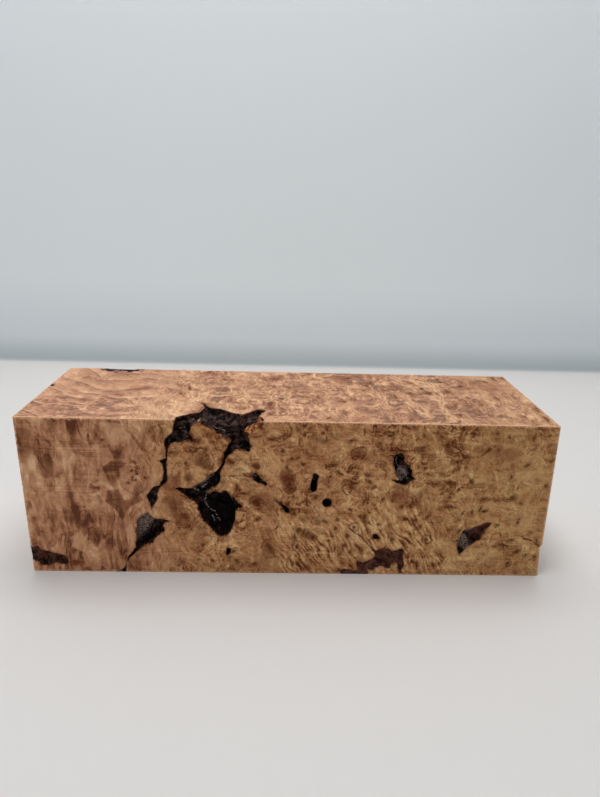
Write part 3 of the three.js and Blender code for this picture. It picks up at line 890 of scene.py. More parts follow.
# %% [markdown]
# ## Sinking the pockets
# A ray sent from each pocket point into the model finds the depth of the rough floor there.
# Where bark runs over an arris, a ray straight in from one face would slip out through
# the other, so near such an arris the rays turn by degrees to the diagonal. The depths are
# smoothed, because the model's floor is coarse, brought to nothing at the rim by a steep
# wall, and then given the plates, ridges and grit of real bark.

# %% The way in
ARRIS_TURN = 4.5


def ways_in():
    """Unit vector into the wood at each place, turned to the diagonal at bark arrises."""
    ways = -np.array([face.out for face in FACES])[homes]
    arris_places = np.flatnonzero(bark_arris)
    if not len(arris_places):
        return ways
    tree = tree_of(flat_places[arris_places])
    both = np.zeros((len(arris_places), 3))
    for face in FACES:
        on_face = face.holds(flat_places[arris_places])
        both[on_face] -= face.out
    for i in np.flatnonzero(pocketed):
        _, nearest, gap = tree.find(flat_places[i])
        if gap < ARRIS_TURN:
            own = ways[i]
            other = both[nearest] - own * (both[nearest] @ own)
            turn = 1 - gap / ARRIS_TURN
            ways[i] = own + turn * other
            ways[i] /= np.linalg.norm(ways[i])
    return ways


way_in = ways_in()

# %% Depths from the model
RAY_START = 0.4
RAY_REACH = 9.0
LEAST_FLOOR = 0.2
WALL_CLEAR = 0.42
SMOOTHING = 0.75


def floor_depths():
    """Depth of the model's floor under every pocket point, smoothed."""
    depth = np.full(len(flat_places), np.nan)
    for i in np.flatnonzero(pocketed & (rim_gap > WALL_CLEAR / 2)):
        start = Vector(flat_places[i] - way_in[i] * RAY_START)
        hit = model_tree.ray_cast(start, Vector(way_in[i]), RAY_REACH)
        if hit[0] is not None and hit[3] - RAY_START > LEAST_FLOOR:
            depth[i] = hit[3] - RAY_START
    known = np.flatnonzero(~np.isnan(depth) & (rim_gap > WALL_CLEAR))
    tree = tree_of(flat_places[known])
    smooth = np.zeros(len(flat_places))
    for i in np.flatnonzero(pocketed):
        near = tree.find_range(flat_places[i], SMOOTHING) or tree.find_n(flat_places[i], 4)
        smooth[i] = np.mean([depth[known[k]] for _, k, _ in near])
    return smooth


depths = floor_depths()
print("depths, mm: mean", round(depths[pocketed].mean(), 2), "most", round(depths.max(), 2))

# %% Bark relief
WALL_RUN = (0.2, 0.45)
WALL_WAVE = 1.3
LEAST_SUNK = 0.08
RELIEF_RUN = 1.2
RIM_RELIEF = 0.35
ISLAND_RISE = 0.6
END_HOLD = 1.6
END_LEAST = 0.12
BEND_SIZE, BEND_REACH = 2.6, 1.3
PLATE_SIZE, PLATE_HEIGHT, PLATE_MEAN = 2.9, 0.5, 1.1
RIDGE_SIZE, RIDGE_HEIGHT, RIDGE_MEAN = 1.05, 0.3, 1.0
GRIT_SIZE, GRIT_HEIGHT = 0.33, 0.1
# Ridged noise: smoothness, growth and number of its octaves, offset and gain.
PLATE_NOISE = (0.8, 2.1, 3, 0.9, 1.6)
RIDGE_NOISE = (0.7, 2.2, 2, 0.8, 1.5)
BACK_CRUST = (-58.0, HALF_SECTION, SECTION)
# Bark that stands nearly level at an arris: centre, reach, and the share it still sinks.
LEVEL_BARK = [
    (Vector(BACK_CRUST), 13.0, 0.1), (Vector((20.0, -HALF_SECTION, 0.0)), 8.0, 0.15),
    (Vector((-46.0, -HALF_SECTION, 0.0)), 4.0, 0.3),
]


def bark_relief(place):
    """Height of bark above its mean floor: broad plates, ridges and grit."""
    p = Vector(place)
    bend = noise.noise_vector(p / BEND_SIZE) * BEND_REACH
    plates = noise.ridged_multi_fractal((p + bend) / PLATE_SIZE, *PLATE_NOISE) - PLATE_MEAN
    ridges = noise.ridged_multi_fractal((p + bend * 0.5) / RIDGE_SIZE, *RIDGE_NOISE)
    ridges -= RIDGE_MEAN
    grit = noise.noise(p / GRIT_SIZE)
    return PLATE_HEIGHT * plates + RIDGE_HEIGHT * ridges + GRIT_HEIGHT * grit


to_faces = np.stack([
    HALF_LENGTH - abs(flat_places[:, 0]),
    HALF_SECTION - abs(flat_places[:, 1]),
    HALF_SECTION - abs(flat_places[:, 2] - HALF_SECTION),
])
end_gap = np.maximum(to_faces[0], to_faces[1:].min(0))


def sunk():
    """Places of all points with the pockets sunk, still on the straight block."""
    out = flat_places.copy()
    for i in np.flatnonzero(pocketed):
        p = Vector(flat_places[i])
        share = 0.5 + 0.5 * noise.noise(p / WALL_WAVE)
        run = WALL_RUN[0] + (WALL_RUN[1] - WALL_RUN[0]) * share
        wall = eased(min(rim_gap[i] / run, 1.0))
        inward = min(rim_gap[i] / RELIEF_RUN, 1.0)
        height = bark_relief(flat_places[i]) * (RIM_RELIEF + (1 - RIM_RELIEF) * inward) * wall
        shallow = min(1.0, depths[i] / RELIEF_RUN)
        depth = max(LEAST_SUNK * wall, depths[i] * wall - height * shallow)
        held = 1 - ISLAND_RISE * raw["island"][i]
        held *= min(1.0, END_LEAST + end_gap[i] / END_HOLD)
        for middle, reach, kept in LEVEL_BARK:
            if (p - middle).length < reach:
                held *= kept
        out[i] += way_in[i] * depth * held
    return out


sunk_places = sunk()

# %% [markdown]
# ## Worn arrises
# Sawn arrises aren't knife edges. The points along them are drawn in a little, unevenly,
# and the upright end arrises are ragged from the saw's teeth. The wood at a rim dips
# slightly too. All of this goes inwards, so the block never grows.

# %% Wear
WEAR_LEAST = 0.05
WEAR_NOISE = 0.13
WEAR_SIZES = (3.1, 0.8)
TOOTH_PITCH = 1.15
TOOTH_DEPTH = 0.36
TOOTH_SIZES = (4.0, 2.0)
RIM_DIP = 0.07


def wear(places):
    """Draws the arrises and rims in a little."""
    out = places.copy()
    outward = np.zeros_like(out)
    for face in FACES:
        outward[face.holds(flat_places)] += face.out
    for i in np.flatnonzero(on_arris & ~pocketed):
        p = Vector(flat_places[i])
        uneven = noise.noise(p / WEAR_SIZES[0]) + 0.4 * noise.noise(p / WEAR_SIZES[1])
        amount = WEAR_LEAST + WEAR_NOISE * max(0.0, uneven)
        if abs(outward[i][0]) and abs(outward[i][1]):
            along = p.z + 0.25 * noise.noise(p / TOOTH_SIZES[0])
            tooth = math.sin(2 * math.pi * along / TOOTH_PITCH)
            share = 0.5 + 0.5 * noise.noise(p / TOOTH_SIZES[1])
            amount += TOOTH_DEPTH * max(0.0, tooth) * share
        out[i] -= outward[i] * amount
    for i in np.flatnonzero(~on_arris & ~pocketed & (rim_gap < ON_RIM)):
        out[i] -= outward[i] * RIM_DIP * (0.6 + 0.4 * noise.noise(Vector(flat_places[i])))
    return out


fine_places = lean(wear(sunk_places)) * MM
print("fine mesh box, mm:", (fine_places.min(0) / MM).round(2), (fine_places.max(0) / MM).round(2))

# %% Build the mesh
SHARP_ANGLE = 48
RIM_REACH = 2


def build_block():
    """The dressed block, with the distance from its rims kept on every point."""
    data = bpy.data.meshes.new("maple_burl_wood")
    data.from_pydata(fine_places.tolist(), [], triangles.tolist())
    block = add_object("maple_burl_wood", data)
    signed = np.where(pocketed, rim_gap, -rim_gap)
    layer = data.attributes.new("bark_mm", "FLOAT", "POINT")
    layer.data.foreach_set("value", np.clip(signed, -RIM_REACH, RIM_REACH).astype(np.float32))
    data.polygons.foreach_set("use_smooth", [True] * len(triangles))
    data.set_sharp_from_angle(angle=math.radians(SHARP_ANGLE))
    return block


block = build_block()
mesh_check = bmesh.new()
mesh_check.from_mesh(block.data)
print("open edges:", sum(not edge.is_manifold for edge in mesh_check.edges))
print("volume, mm3:", round(mesh_check.calc_volume(signed=True) / MM ** 3))
mesh_check.free()

# %% [markdown]
# ## Marks on the mesh
# Every mark is now measured at the mesh's points: the facets from the point's true place,
# the rest from a place bent a little by noise, so that no mark is a true ellipse. Rings,
# cracks and glints are kept as distances, which the shader can cut into thin lines.

# %% Measure the marks
FAR_OFF = 5.0
# Each bend of the marks: the size of its noise, and how far it reaches.
MARK_BENDS = ((3.1, 0.75), (0.8, 0.16))
# Where each kind of mark is full and where it ends, in radii.
MARK_LIMITS = {"dark": (0.45, 1.2), "red": (0.45, 1.2), "pale": (0.3, 1.25), "pin": (0.7, 1.6)}
CRISPER_RED = 0.3
LINE_STEP = 0.1


def bent_places(index):
    """Points of one face and their face coordinates, bent by noise."""
    face = FACES[index]
    on_face = np.flatnonzero(face.holds(flat_places))
    (broad, far), (fine, near) = MARK_BENDS
    bends = np.array([
        noise.noise_vector(p / broad) * far + noise.noise_vector(p / fine) * near
        for p in map(Vector, flat_places[on_face])
    ])
    return on_face, seen(index, face.to_2d(flat_places[on_face] + bends))


def soft(far, inner, outer):
    """1 up to the inner distance, 0 from the outer one on."""
    return eased(np.clip((outer - far) / (outer - inner), 0, 1))


def measure_marks():
    """One list of values per kind of mark."""
    count = len(flat_places)
    found = {name: np.zeros(count) for name in (*MARK_LIMITS, "facet", "ring_strength")}
    found |= {name: np.full(count, FAR_OFF) for name in ("ring_mm", "crack_mm", "glint_mm")}
    for index in (FRONT, TOP):
        on_face, uv = bent_places(index)
        level = seen(index, FACES[index].to_2d(flat_places[on_face]))
        for kind, (inner, outer) in MARK_LIMITS.items():
            for mark in MARKS[kind].get(index, []):
                crisp = inner + CRISPER_RED * mark[5] if kind == "red" else inner
                value = soft(far_from(uv, mark), crisp, outer) * mark[5]
                found[kind][on_face] = np.maximum(found[kind][on_face], value)
        for strength, outline in FACETS if index == FRONT else []:
            found["facet"][on_face] += outline_share(level, outline, FACET_BLUR) * strength
        for mark in MARKS["ring"][index]:
            off = (far_from(uv, mark) - 1) * min(mark[2:4])
            nearer = off < found["ring_mm"][on_face]
            found["ring_mm"][on_face[nearer]] = off[nearer]
            found["ring_strength"][on_face[nearer]] = mark[5]
        for name, lines in (("crack_mm", CRACKS), ("glint_mm", {FRONT: GLINTS})):
            points = [crack_points(line, LINE_STEP) for line in lines.get(index, [])]
            if points:
                gap = distances(tree_of(np.concatenate(points)), uv)
                found[name][on_face] = gap
    return found


def keep_on_points(name, values):
    layer = block.data.attributes.new(name, "FLOAT", "POINT")
    layer.data.foreach_set("value", np.asarray(values, np.float32))


for kind, values in measure_marks().items():
    keep_on_points(kind, values)
    print(kind, "from", values.min().round(2), "to", values.max().round(2))
for name, marks in raw.items():
    keep_on_points(name, marks)
keep_on_points("arris_mm", np.sort(to_faces, 0)[1])

# %% [markdown]
# ## Sums in a shader
# A shader is a graph, but most of a wood shader is plain arithmetic. So one small class
# wraps a socket and lets it be added, multiplied and compared as a number would be. Every
# other kind of node is made by one method that takes its type, settings and inputs.

# %% Shader arithmetic
class Wire:
    """An output socket that can be used in sums, each making a Math node."""

    def __init__(self, shader, socket):
        self.shader = shader
        self.socket = socket

    def math(self, operation, *others):
        inputs = dict(enumerate((self, *others)))
        return self.shader.node("ShaderNodeMath", {"operation": operation}, inputs)

    def __add__(self, other):
        return self.math("ADD", other)

    __radd__ = __add__

    def __mul__(self, other):
        return self.math("MULTIPLY", other)

    __rmul__ = __mul__

    def __sub__(self, other):
        return self.math("SUBTRACT", other)

    def __rsub__(self, other):
        return self.shader.node(
            "ShaderNodeMath", {"operation": "SUBTRACT"}, {0: other, 1: self}
        )

    def __truediv__(self, other):
        return self.math("DIVIDE", other)

    def most(self, other):
        return self.math("MAXIMUM", other)


class Shader:
    """Makes the nodes of one material."""

    def __init__(self, name):
        self.material = bpy.data.materials.new(name)
        self.material.use_nodes = True
        self.tree = self.material.node_tree
        self.tree.nodes.clear()

    def node(self, kind, settings=None, inputs=None, output=0):
        made = self.tree.nodes.new(kind)
        for name, value in (settings or {}).items():
            setattr(made, name, value)
        for name, value in (inputs or {}).items():
            if isinstance(value, Wire):
                self.tree.links.new(value.socket, made.inputs[name])
            elif value is not None:
                made.inputs[name].default_value = value
        return Wire(self, made.outputs[output]) if made.outputs else made

    def vector_math(self, operation, *values, output="Vector"):
        inputs = dict(enumerate(values))
        settings = {"operation": operation}
        return self.node("ShaderNodeVectorMath", settings, inputs, output)

    def scaled(self, vector, factors):
        return self.vector_math("MULTIPLY", vector, factors)

    def moved(self, vector, offset):
        return self.vector_math("ADD", vector, offset)

    def join(self, x, y, z):
        return self.node("ShaderNodeCombineXYZ", {}, {0: x, 1: y, 2: z})

    def part(self, vector, axis):
        return self.node("ShaderNodeSeparateXYZ", {}, {0: vector}, axis)

    def noise(self, place, scale, detail=2.0, rough=0.5, twist=0.0):
        """Cloudy noise between about 0.25 and 0.75, with 0.5 as its mean."""
        inputs = {
            "Vector": place, "Scale": scale, "Detail": detail,
            "Roughness": rough, "Distortion": twist,
        }
        return self.node("ShaderNodeTexNoise", {}, inputs)

    def noise_vector(self, place, scale, reach):
        """A place moved by up to about a third of reach in every direction."""
        inputs = {"Vector": place, "Scale": scale, "Detail": 1.5}
        cloud = self.node("ShaderNodeTexNoise", {}, inputs, "Color")
        offset = self.moved(cloud, (-0.5, -0.5, -0.5))
        return self.vector_math("MULTIPLY_ADD", offset, (reach, reach, reach), place)

    def cells(self, place, scale):
        """Distance from the middle of the nearest cell, in cells."""
        return self.node("ShaderNodeTexVoronoi", {}, {"Vector": place, "Scale": scale})

    def soft_cells(self, place, scale, softness):
        """Cells that run into each other a little. Used for their random numbers."""
        inputs = {"Vector": place, "Scale": scale, "Smoothness": softness}
        return self.node("ShaderNodeTexVoronoi", {"feature": "SMOOTH_F1"}, inputs)

    def ramp(self, value, low, high, most=1.0):
        """0 up to low, most from high on, smooth between. High may be the smaller."""
        settings = {"interpolation_type": "SMOOTHSTEP"}
        inputs = {0: value, 1: low, 2: high, 3: 0.0, 4: most}
        return self.node("ShaderNodeMapRange", settings, inputs)

    def blend(self, share, first, second, mode="MIX"):
        settings = {"data_type": "RGBA", "blend_type": mode}
        return self.node("ShaderNodeMix", settings, {0: share, 6: first, 7: second}, 2)

    def mix(self, share, first, second):
        return self.node("ShaderNodeMix", {}, {0: share, 2: first, 3: second})

    def mix_vector(self, share, first, second):
        settings = {"data_type": "VECTOR"}
        return self.node("ShaderNodeMix", settings, {0: share, 4: first, 5: second}, 1)

    def cell_lot(self, cells):
        """A random number for each cell of a cell pattern."""
        return self.part(Wire(self, cells.socket.node.outputs["Color"]), 0)

    def attribute(self, name):
        """A value kept on the mesh's points."""
        return self.node("ShaderNodeAttribute", {"attribute_name": name}, {}, "Fac")

    def seen_from(self, place, centre, sizes, turn=0.0):
        """A place measured from a centre, in units of sizes, turned about Y in degrees."""
        settings = {"vector_type": "TEXTURE"}
        inputs = {
            "Vector": place, "Location": centre, "Scale": sizes,
            "Rotation": (0, math.radians(-turn), 0),
        }
        return self.node("ShaderNodeMapping", settings, inputs)

    def from_axis(self, place, middle):
        """Distance from an upright line through a middle, given as x and y."""
        offset = self.moved(place, (-middle[0], -middle[1], 0))
        return self.vector_math("LENGTH", self.scaled(offset, (1, 1, 0)), output="Value")

    def spot(self, place, centre, radii, turn=0.0):
        """Distance from a spot's centre in units of its radii."""
        local = self.seen_from(place, centre, radii, turn)
        return self.vector_math("LENGTH", local, output="Value")


def colour(red, green, blue):
    """A colour as seen on a screen, 0 to 255, turned into the light values of a shader."""
    shares = [channel / 255 for channel in (red, green, blue)]
    light = [s / 12.92 if s <= 0.04045 else ((s + 0.055) / 1.055) ** 2.4 for s in shares]
    return (*light, 1.0)


print("shader helpers ready; mid tan is", tuple(round(c, 3) for c in colour(170, 125, 85)))

# %% [markdown]
# ## How the grain runs
# Wood is laid down in layers. A number that rises through the layers, here called growth,
# is enough to draw the figure: fibres follow its contours, and a polished or sawn face
# looks lighter or darker where the contours turn. On the left of the block the layers
# stand upright, as in plain trunk wood. In the burl they are heaped over hundreds of buds,
# so growth gets a cone for every bud, and its contours run round them.

# %% Growth field
TRUNK_MIDDLE = (-40.0, 25.0)
BURL_EDGE = (-45, -27)
BURL_LEAN = 0.12
BURL_WANDER = 26
# Cells to a millimetre: for the buds, and for the tiny specks between them.
BUD_PITCH = 0.29
SPECK_PITCH = 0.8
TOP_NEAR = SECTION - 0.2
TOP_COARSER = 0.28
TOP_DRAWN = (0.86, 0.46, 0.72)


def burl_share(s, p):
    """0 in the plain wood at the left, 1 in the burl."""
    x = s.part(p, 0)
    z = s.part(p, 2)
    edge = x + z * BURL_LEAN + s.noise(p, 0.06, 2.0) * BURL_WANDER - BURL_WANDER / 2
    return s.ramp(edge, *BURL_EDGE)


def face_view(s, p, on_top):
    """A place to draw figure from, drawn out on the top, where buds were cut lengthwise."""
    return s.scaled(p, s.mix_vector(on_top, (1, 1, 1), TOP_DRAWN))


def bent_grain(s, p, view):
    """Two bent copies of a place: one for the burl, one for the upright grain."""
    burl = s.noise_vector(s.noise_vector(view, 0.13, 7.5), 0.5, 1.6)
    upright = s.noise_vector(s.scaled(p, (1, 1, 0.36)), 0.22, 4.6)
    return burl, upright


def drawn_inward(s, place, on_top):
    """A place to draw cells from, long into the wood, so that each face cuts many."""
    return s.mix_vector(on_top, s.scaled(place, (1, 0.3, 1)), s.scaled(place, (1, 1, 0.3)))


def bud_cells(s, burl, on_top):
    """A cell for every bud."""
    return s.cells(drawn_inward(s, burl, on_top), BUD_PITCH)


def growth(s, burl, upright, buds, share):
    """Height through the growth layers, in about millimetres."""
    rings = s.from_axis(upright, TRUNK_MIDDLE) + s.noise(upright, 0.22, 1.5) * 9
    waves = s.noise(burl, 0.085, 1.5, 0.55) * 17
    return s.mix(share, rings, waves + buds * 3.0)


# %% [markdown]
# ## Wood
# The wood's colour is one tone from dark to pale, made from clouds and fibres that follow
# the contours of growth, and from the slope of growth, which gives the silky shimmer. The
# burl also has slanting ruffles, and feathery strokes low down. The plain wood has facets
# of light and dark: the cells of an upright cell pattern on the front, each with its own
# tone, and arcs on the top. The saw's lines are added, the tone picks a colour, and then
# the stains, eyes, rings and cracks go over it. A paler, greyer tint is painted over the
# top as its sheen, and a pale painted highlight runs along the worn arrises.

# %% Wood colour
# Colours from dark to pale, for the burl and for the plain wood.
BURL_TONES = [
    colour(98, 56, 32), colour(156, 101, 64), colour(192, 135, 91), colour(214, 161, 111),
    colour(236, 194, 140),
]
PLAIN_TONES = [
    colour(108, 64, 44), colour(160, 106, 74), colour(196, 139, 102), colour(218, 164, 124),
    colour(240, 196, 152),
]
# For each colour after the first: the tone where it begins, and where it is full.
TONE_STEPS = [(0.06, 0.36), (0.3, 0.56), (0.52, 0.78), (0.78, 1.05)]
# Tint painted over the top face as the sheen it shows at a low angle: a painted reflection.
TOP_SHEEN_PAINT = colour(188, 156, 138)
RED_WOOD = colour(120, 56, 34)
EYE_BROWN = colour(82, 38, 12)
HALO_BROWN = colour(128, 74, 36)
RING_BROWN = colour(104, 56, 30)
PLAIN_DARK = colour(96, 44, 26)
YELLOW_CAST = colour(248, 254, 248)
# Pale of the arrises: partly pale torn wood, partly a painted highlight where the worn edges catch
# the light.
WORN_HIGHLIGHT_PALE = colour(244, 192, 152)
CRACK_BROWN = colour(74, 38, 22)
PALENESS = 0.62
SHIMMER_STEP = (0.5, 0.2, 0.55)
RUFFLE_SLANT = -52
RUFFLE_SIZES = (4.2, 1.6, 1.35)
RUFFLE_STEP = (-0.28, 0.0, 0.28)
RUFFLE_HEIGHT = 9
FEATHER_SLANT = -60
FEATHER_SIZES = (4.8, 1.2, 0.75)
ARC_MIDDLE = (-44.0, 40.0)
ARC_PITCH = 7.5
SAW_PITCH = 0.62
SAW_WANDER = 5


def ruffles(s, burl):
    """Slanting creases, lit as though from the upper left, about -1 to 1."""
    def crease(place):
        slanted = s.seen_from(place, (0, 0, 0), RUFFLE_SIZES, RUFFLE_SLANT)
        return s.noise(slanted, 0.8, 2.5, 0.6)

    return (crease(s.moved(burl, RUFFLE_STEP)) - crease(burl)) * RUFFLE_HEIGHT


def facets(s, p, upright, on_top):
    """Light and dark in the plain wood, from -0.5 to 0.5: lozenges, and arcs on the top."""
    broad = s.cell_lot(s.soft_cells(s.scaled(upright, (1, 1, 1.4)), 0.23, 0.14))
    narrow = s.cell_lot(s.soft_cells(s.scaled(upright, (1, 1, 0.7)), 0.75, 0.2))
    bent = s.noise_vector(p, 0.06, 18)
    arcs = (s.from_axis(bent, ARC_MIDDLE) / ARC_PITCH).math("FRACT")
    return s.mix(on_top, broad * 0.65 + narrow * 0.35, arcs) - 0.5


def feathers(s, p):
    """Fine slanting strokes low on the burl, where its layers were cut lengthwise."""
    bent = s.noise_vector(p, 0.09, 7)
    slanted = s.seen_from(bent, (0, 0, 0), FEATHER_SIZES, FEATHER_SLANT)
    strokes = s.noise(slanted, 1.0, 1.5, 0.6)
    x = s.part(bent, 0)
    reach = s.part(bent, 2) - x * 0.12
    where = s.ramp(reach, 25, 13) * s.ramp(x, -15, -3) * s.ramp(x, 58, 38)
    return strokes - 0.5, where


def wood_tone(s, p, share, on_top):
    """How pale the wood is, from 0 to 1, before any marks. Also its fibres and buds."""
    view = face_view(s, p, on_top)
    burl, upright = bent_grain(s, p, view)
    buds = bud_cells(s, burl, on_top)
    height = growth(s, burl, upright, buds, share)
    next_burl, next_upright = s.moved(burl, SHIMMER_STEP), s.moved(upright, SHIMMER_STEP)
    next_buds = bud_cells(s, next_burl, on_top)
    ahead = growth(s, next_burl, next_upright, next_buds, share)
    settings = {"interpolation_type": "SMOOTHERSTEP"}
    slope = s.node(
        "ShaderNodeMapRange", settings, {0: ahead - height, 1: -1.5, 2: 1.5, 3: -1.0, 4: 1.0}
    )
    slow = s.mix_vector(
        share, s.scaled(view, (0.22, 0.22, 0.13)), s.scaled(view, (0.3, 0.3, 0.3))
    )
    short = s.scaled(slow, (1.9, 1.9, 1.9))
    across = height * (1 - on_top * TOP_COARSER)
    clouds = s.noise(s.moved(s.join(across * 0.45, 0, 0), slow), 1.0, 2.0, 0.55)
    fibres = s.noise(s.moved(s.join(across * 1.6, 4, 2), short), 1.0, 1.6, 0.6)
    broad = s.noise(p, 0.05, 1.0)
    speckle = s.noise(view, 1.2, 1.6, 0.6, 0.5)
    plain = 1 - share
    strokes, feathered = feathers(s, p)
    feathered = feathered * share * (1 - on_top)
    tone = (
        slope * (0.19 - feathered * 0.1) + (clouds - 0.5) * (0.85 - plain * 0.3 - on_top * 0.2)
        + (fibres - 0.5) * (1.25 + on_top * 0.25 - plain * 0.4 - feathered * 0.9)
        + (speckle - 0.5) * (0.45 - plain * 0.1)
        + ruffles(s, burl) * (share - feathered * 0.6) * 0.32 + strokes * feathered * 1.9
    )
    calm = s.ramp(s.part(p, 1), -16, 6, 0.7) * plain * on_top
    lively = s.ramp(s.noise(p, 0.075, 1.5), 0.38, 0.6, 0.55) * share + plain * 0.35
    lively = lively - s.ramp(s.part(p, 0), 42, 66, 0.3)
    stepped = facets(s, p, upright, on_top) * plain * (0.62 - on_top * 0.22)
    darker = s.ramp(s.part(p, 0), -40, 25, 0.15) * on_top - s.ramp(s.part(p, 0), 20, 75, 0.04)
    darker = darker + s.ramp(s.part(p, 2), 20, 46, 0.09) * share * (1 - on_top)
    facet = s.attribute("facet")
    even = 1 - facet.math("ABSOLUTE") * 0.7
    contrast = (0.76 + lively) * (1 + on_top * (0.32 - share * 0.34) - calm) * even
    uneven = (broad - 0.5) * (0.35 + on_top * 0.2)
    level = PALENESS - darker
    return tone * contrast + stepped * even + facet * 0.42 + uneven + level, fibres, buds


def tone_colour(s, tone, tones):
    """The colour for a tone: each ramp leads from one of the tones to the next."""
    made = tones[0]
    for (low, high), paler in zip(TONE_STEPS, tones[1:]):
        made = s.blend(s.ramp(tone, low, high), made, paler)
    return made


def scattered_eyes(s, p, share, buds, on_top):
    """Dark eyes at the middle of some buds, rings and halos round them, and tiny specks."""
    lot = s.cell_lot(buds)
    cluster = (s.noise(p, 0.08, 1.0) - 0.5) * 1.2
    present = s.ramp(lot + cluster, 0.28, 0.38) * share
    size = 0.15 + lot * 0.08
    dot = s.ramp(buds / size, 1.2, 0.5)
    ring = s.ramp((buds - size * 2.2).math("ABSOLUTE"), 0.07, 0.01)
    halo = s.ramp(buds, 0.5, 0.18) * present
    tiny = s.cells(drawn_inward(s, p, on_top), SPECK_PITCH)
    few = s.ramp(s.cell_lot(tiny) + cluster * 0.8, 0.5, 0.58)
    specks = s.ramp(tiny, 0.3, 0.12) * few * share
    return (dot * 0.9).most(ring * 0.4) * present, halo, specks


def saw_lines(s, p):
    """Faint level lines left by the saw on the upright faces."""
    wander = s.noise(s.scaled(p, (0.02, 0.02, 0.5)), 1.0, 1.0) * SAW_WANDER
    wave = ((s.part(p, 2) + wander) * (2 * math.pi / SAW_PITCH)).math("SINE")
    patchy = s.ramp(s.noise(s.scaled(p, (0.05, 0.05, 0.16)), 1.0, 2.0), 0.42, 0.62)
    return wave * patchy


def wood_colour(s, p, share, bark_mm):
    """The wood's colour with all its marks, its tone and its saw lines."""
    on_top = s.ramp(s.part(p, 2), TOP_NEAR, SECTION)
    tone, fibres, buds = wood_tone(s, p, share, on_top)
    lines = saw_lines(s, p)
    lined = tone + lines * 0.08
    plain_made, burl_made = (tone_colour(s, lined, tones) for tones in (PLAIN_TONES, BURL_TONES))
    made = s.blend(share * (1 - on_top * 0.65), plain_made, burl_made)
    made = s.blend(s.ramp(s.part(p, 0), 10, 70), made, YELLOW_CAST, "MULTIPLY")
    # Painted sheen: the top is tinted paler and greyer, as a low-angled face reflecting light
    # looks.
    made = s.blend(on_top * 0.26, made, TOP_SHEEN_PAINT)
    eyes, halo, specks = scattered_eyes(s, p, share, buds, on_top)
    made = s.blend(halo * 0.52, made, HALO_BROWN)
    ragged = s.noise(p, 1.6, 2.0) - 0.5
    made = s.blend(s.attribute("pale") * share * 0.6, made, BURL_TONES[-1])
    made = s.blend(s.attribute("red") * (0.9 + ragged * 1.1), made, RED_WOOD)
    near_rim = s.ramp(bark_mm + (s.noise(p, 0.7, 2.0) - 0.5) * 2.4, -0.7, 0.3)
    made = s.blend(near_rim * 0.55, made, RED_WOOD)
    ring = s.ramp((s.attribute("ring_mm") + ragged * 0.5).math("ABSOLUTE"), 0.46, 0.05)
    ring = ring * (s.ramp(s.noise(p, 0.5, 2.0), 0.36, 0.56) + 0.5)
    made = s.blend(ring * s.attribute("ring_strength") * 0.8, made, RING_BROWN)
    dark = s.attribute("dark") * (1.35 + ragged * 1.2)
    dark = dark.most(eyes).most(s.attribute("pin")).most(specks * 0.5)
    dark = dark.most(s.ramp(fibres, 0.4, 0.32) * 0.14)
    made = s.blend(dark * 0.85, made, s.blend(share, PLAIN_DARK, EYE_BROWN))
    cracks = s.ramp(s.attribute("crack_mm") + ragged * 0.5, 0.42, 0.08)
    made = s.blend(cracks * 0.85, made, CRACK_BROWN)
    # Along the arrises: partly pale worn wood, partly a painted highlight of the edge catching the
    # light.
    worn = s.ramp(s.attribute("arris_mm") + ragged * 2.2, 0.65, 0.1)
    return s.blend(worn * 0.7, made, WORN_HIGHLIGHT_PALE), tone, lines


# %% [markdown]
# ## Bark
# The bark in the pockets is nearly black, with brown plates and small, paler flakes that
# catch the light: they are glossy, and their paler colour is partly a painted highlight.
# Pale glints are painted highlights too. A few pockets are filled with duller, browner
# bark, a few are greyer, one is reddish, and the largest is the blackest.

# %% Bark colour
BLACK_BARK = colour(11, 7, 6)
BROWN_BARK = colour(66, 42, 35)
FLAKE_SHEEN_BROWN = colour(122, 88, 76)
FLAKE_GREY = colour(188, 162, 150)
RED_BARK = colour(104, 52, 38)
GLINT_HIGHLIGHT_GREY = colour(168, 156, 152)
DULL_BARK = colour(116, 70, 58)
POCKET_REACH = 8.0
# Each group of pockets: x, z, radius across, radius up, tilt.
DULL_POCKETS = [
    (57.0, 16.0, 4.5, 4.0, 40), (26.0, 4.0, 12.0, 7.0, 10), (-67.5, 4.6, 7.5, 3.6, -8),
]
GREY_POCKETS = [
    (-43.0, 16.0, 3.2, 6.5, -25), (32.2, 33.0, 2.0, 2.2, 0),
    (52.2, 11.2, 2.1, 2.8, 30),
]
BLACK_POCKETS = [(-20.0, 19.5, 6.2, 8.0, 15)]
RED_POCKETS = [(-36.6, 24.6, 2.2, 4.4, -18)]


def front_pockets(s, p, pockets, inner, outer):
    """1 inside any of a few ellipses on the front, fading out beyond them."""
    found = None
    for x, z, wide, high, tilt in pockets:
        centre = (x, -HALF_SECTION, z)
        far = s.spot(p, centre, (wide, POCKET_REACH, high), tilt)
        here = s.ramp(far, outer, inner)
        found = here if found is None else found.most(here)
    return found


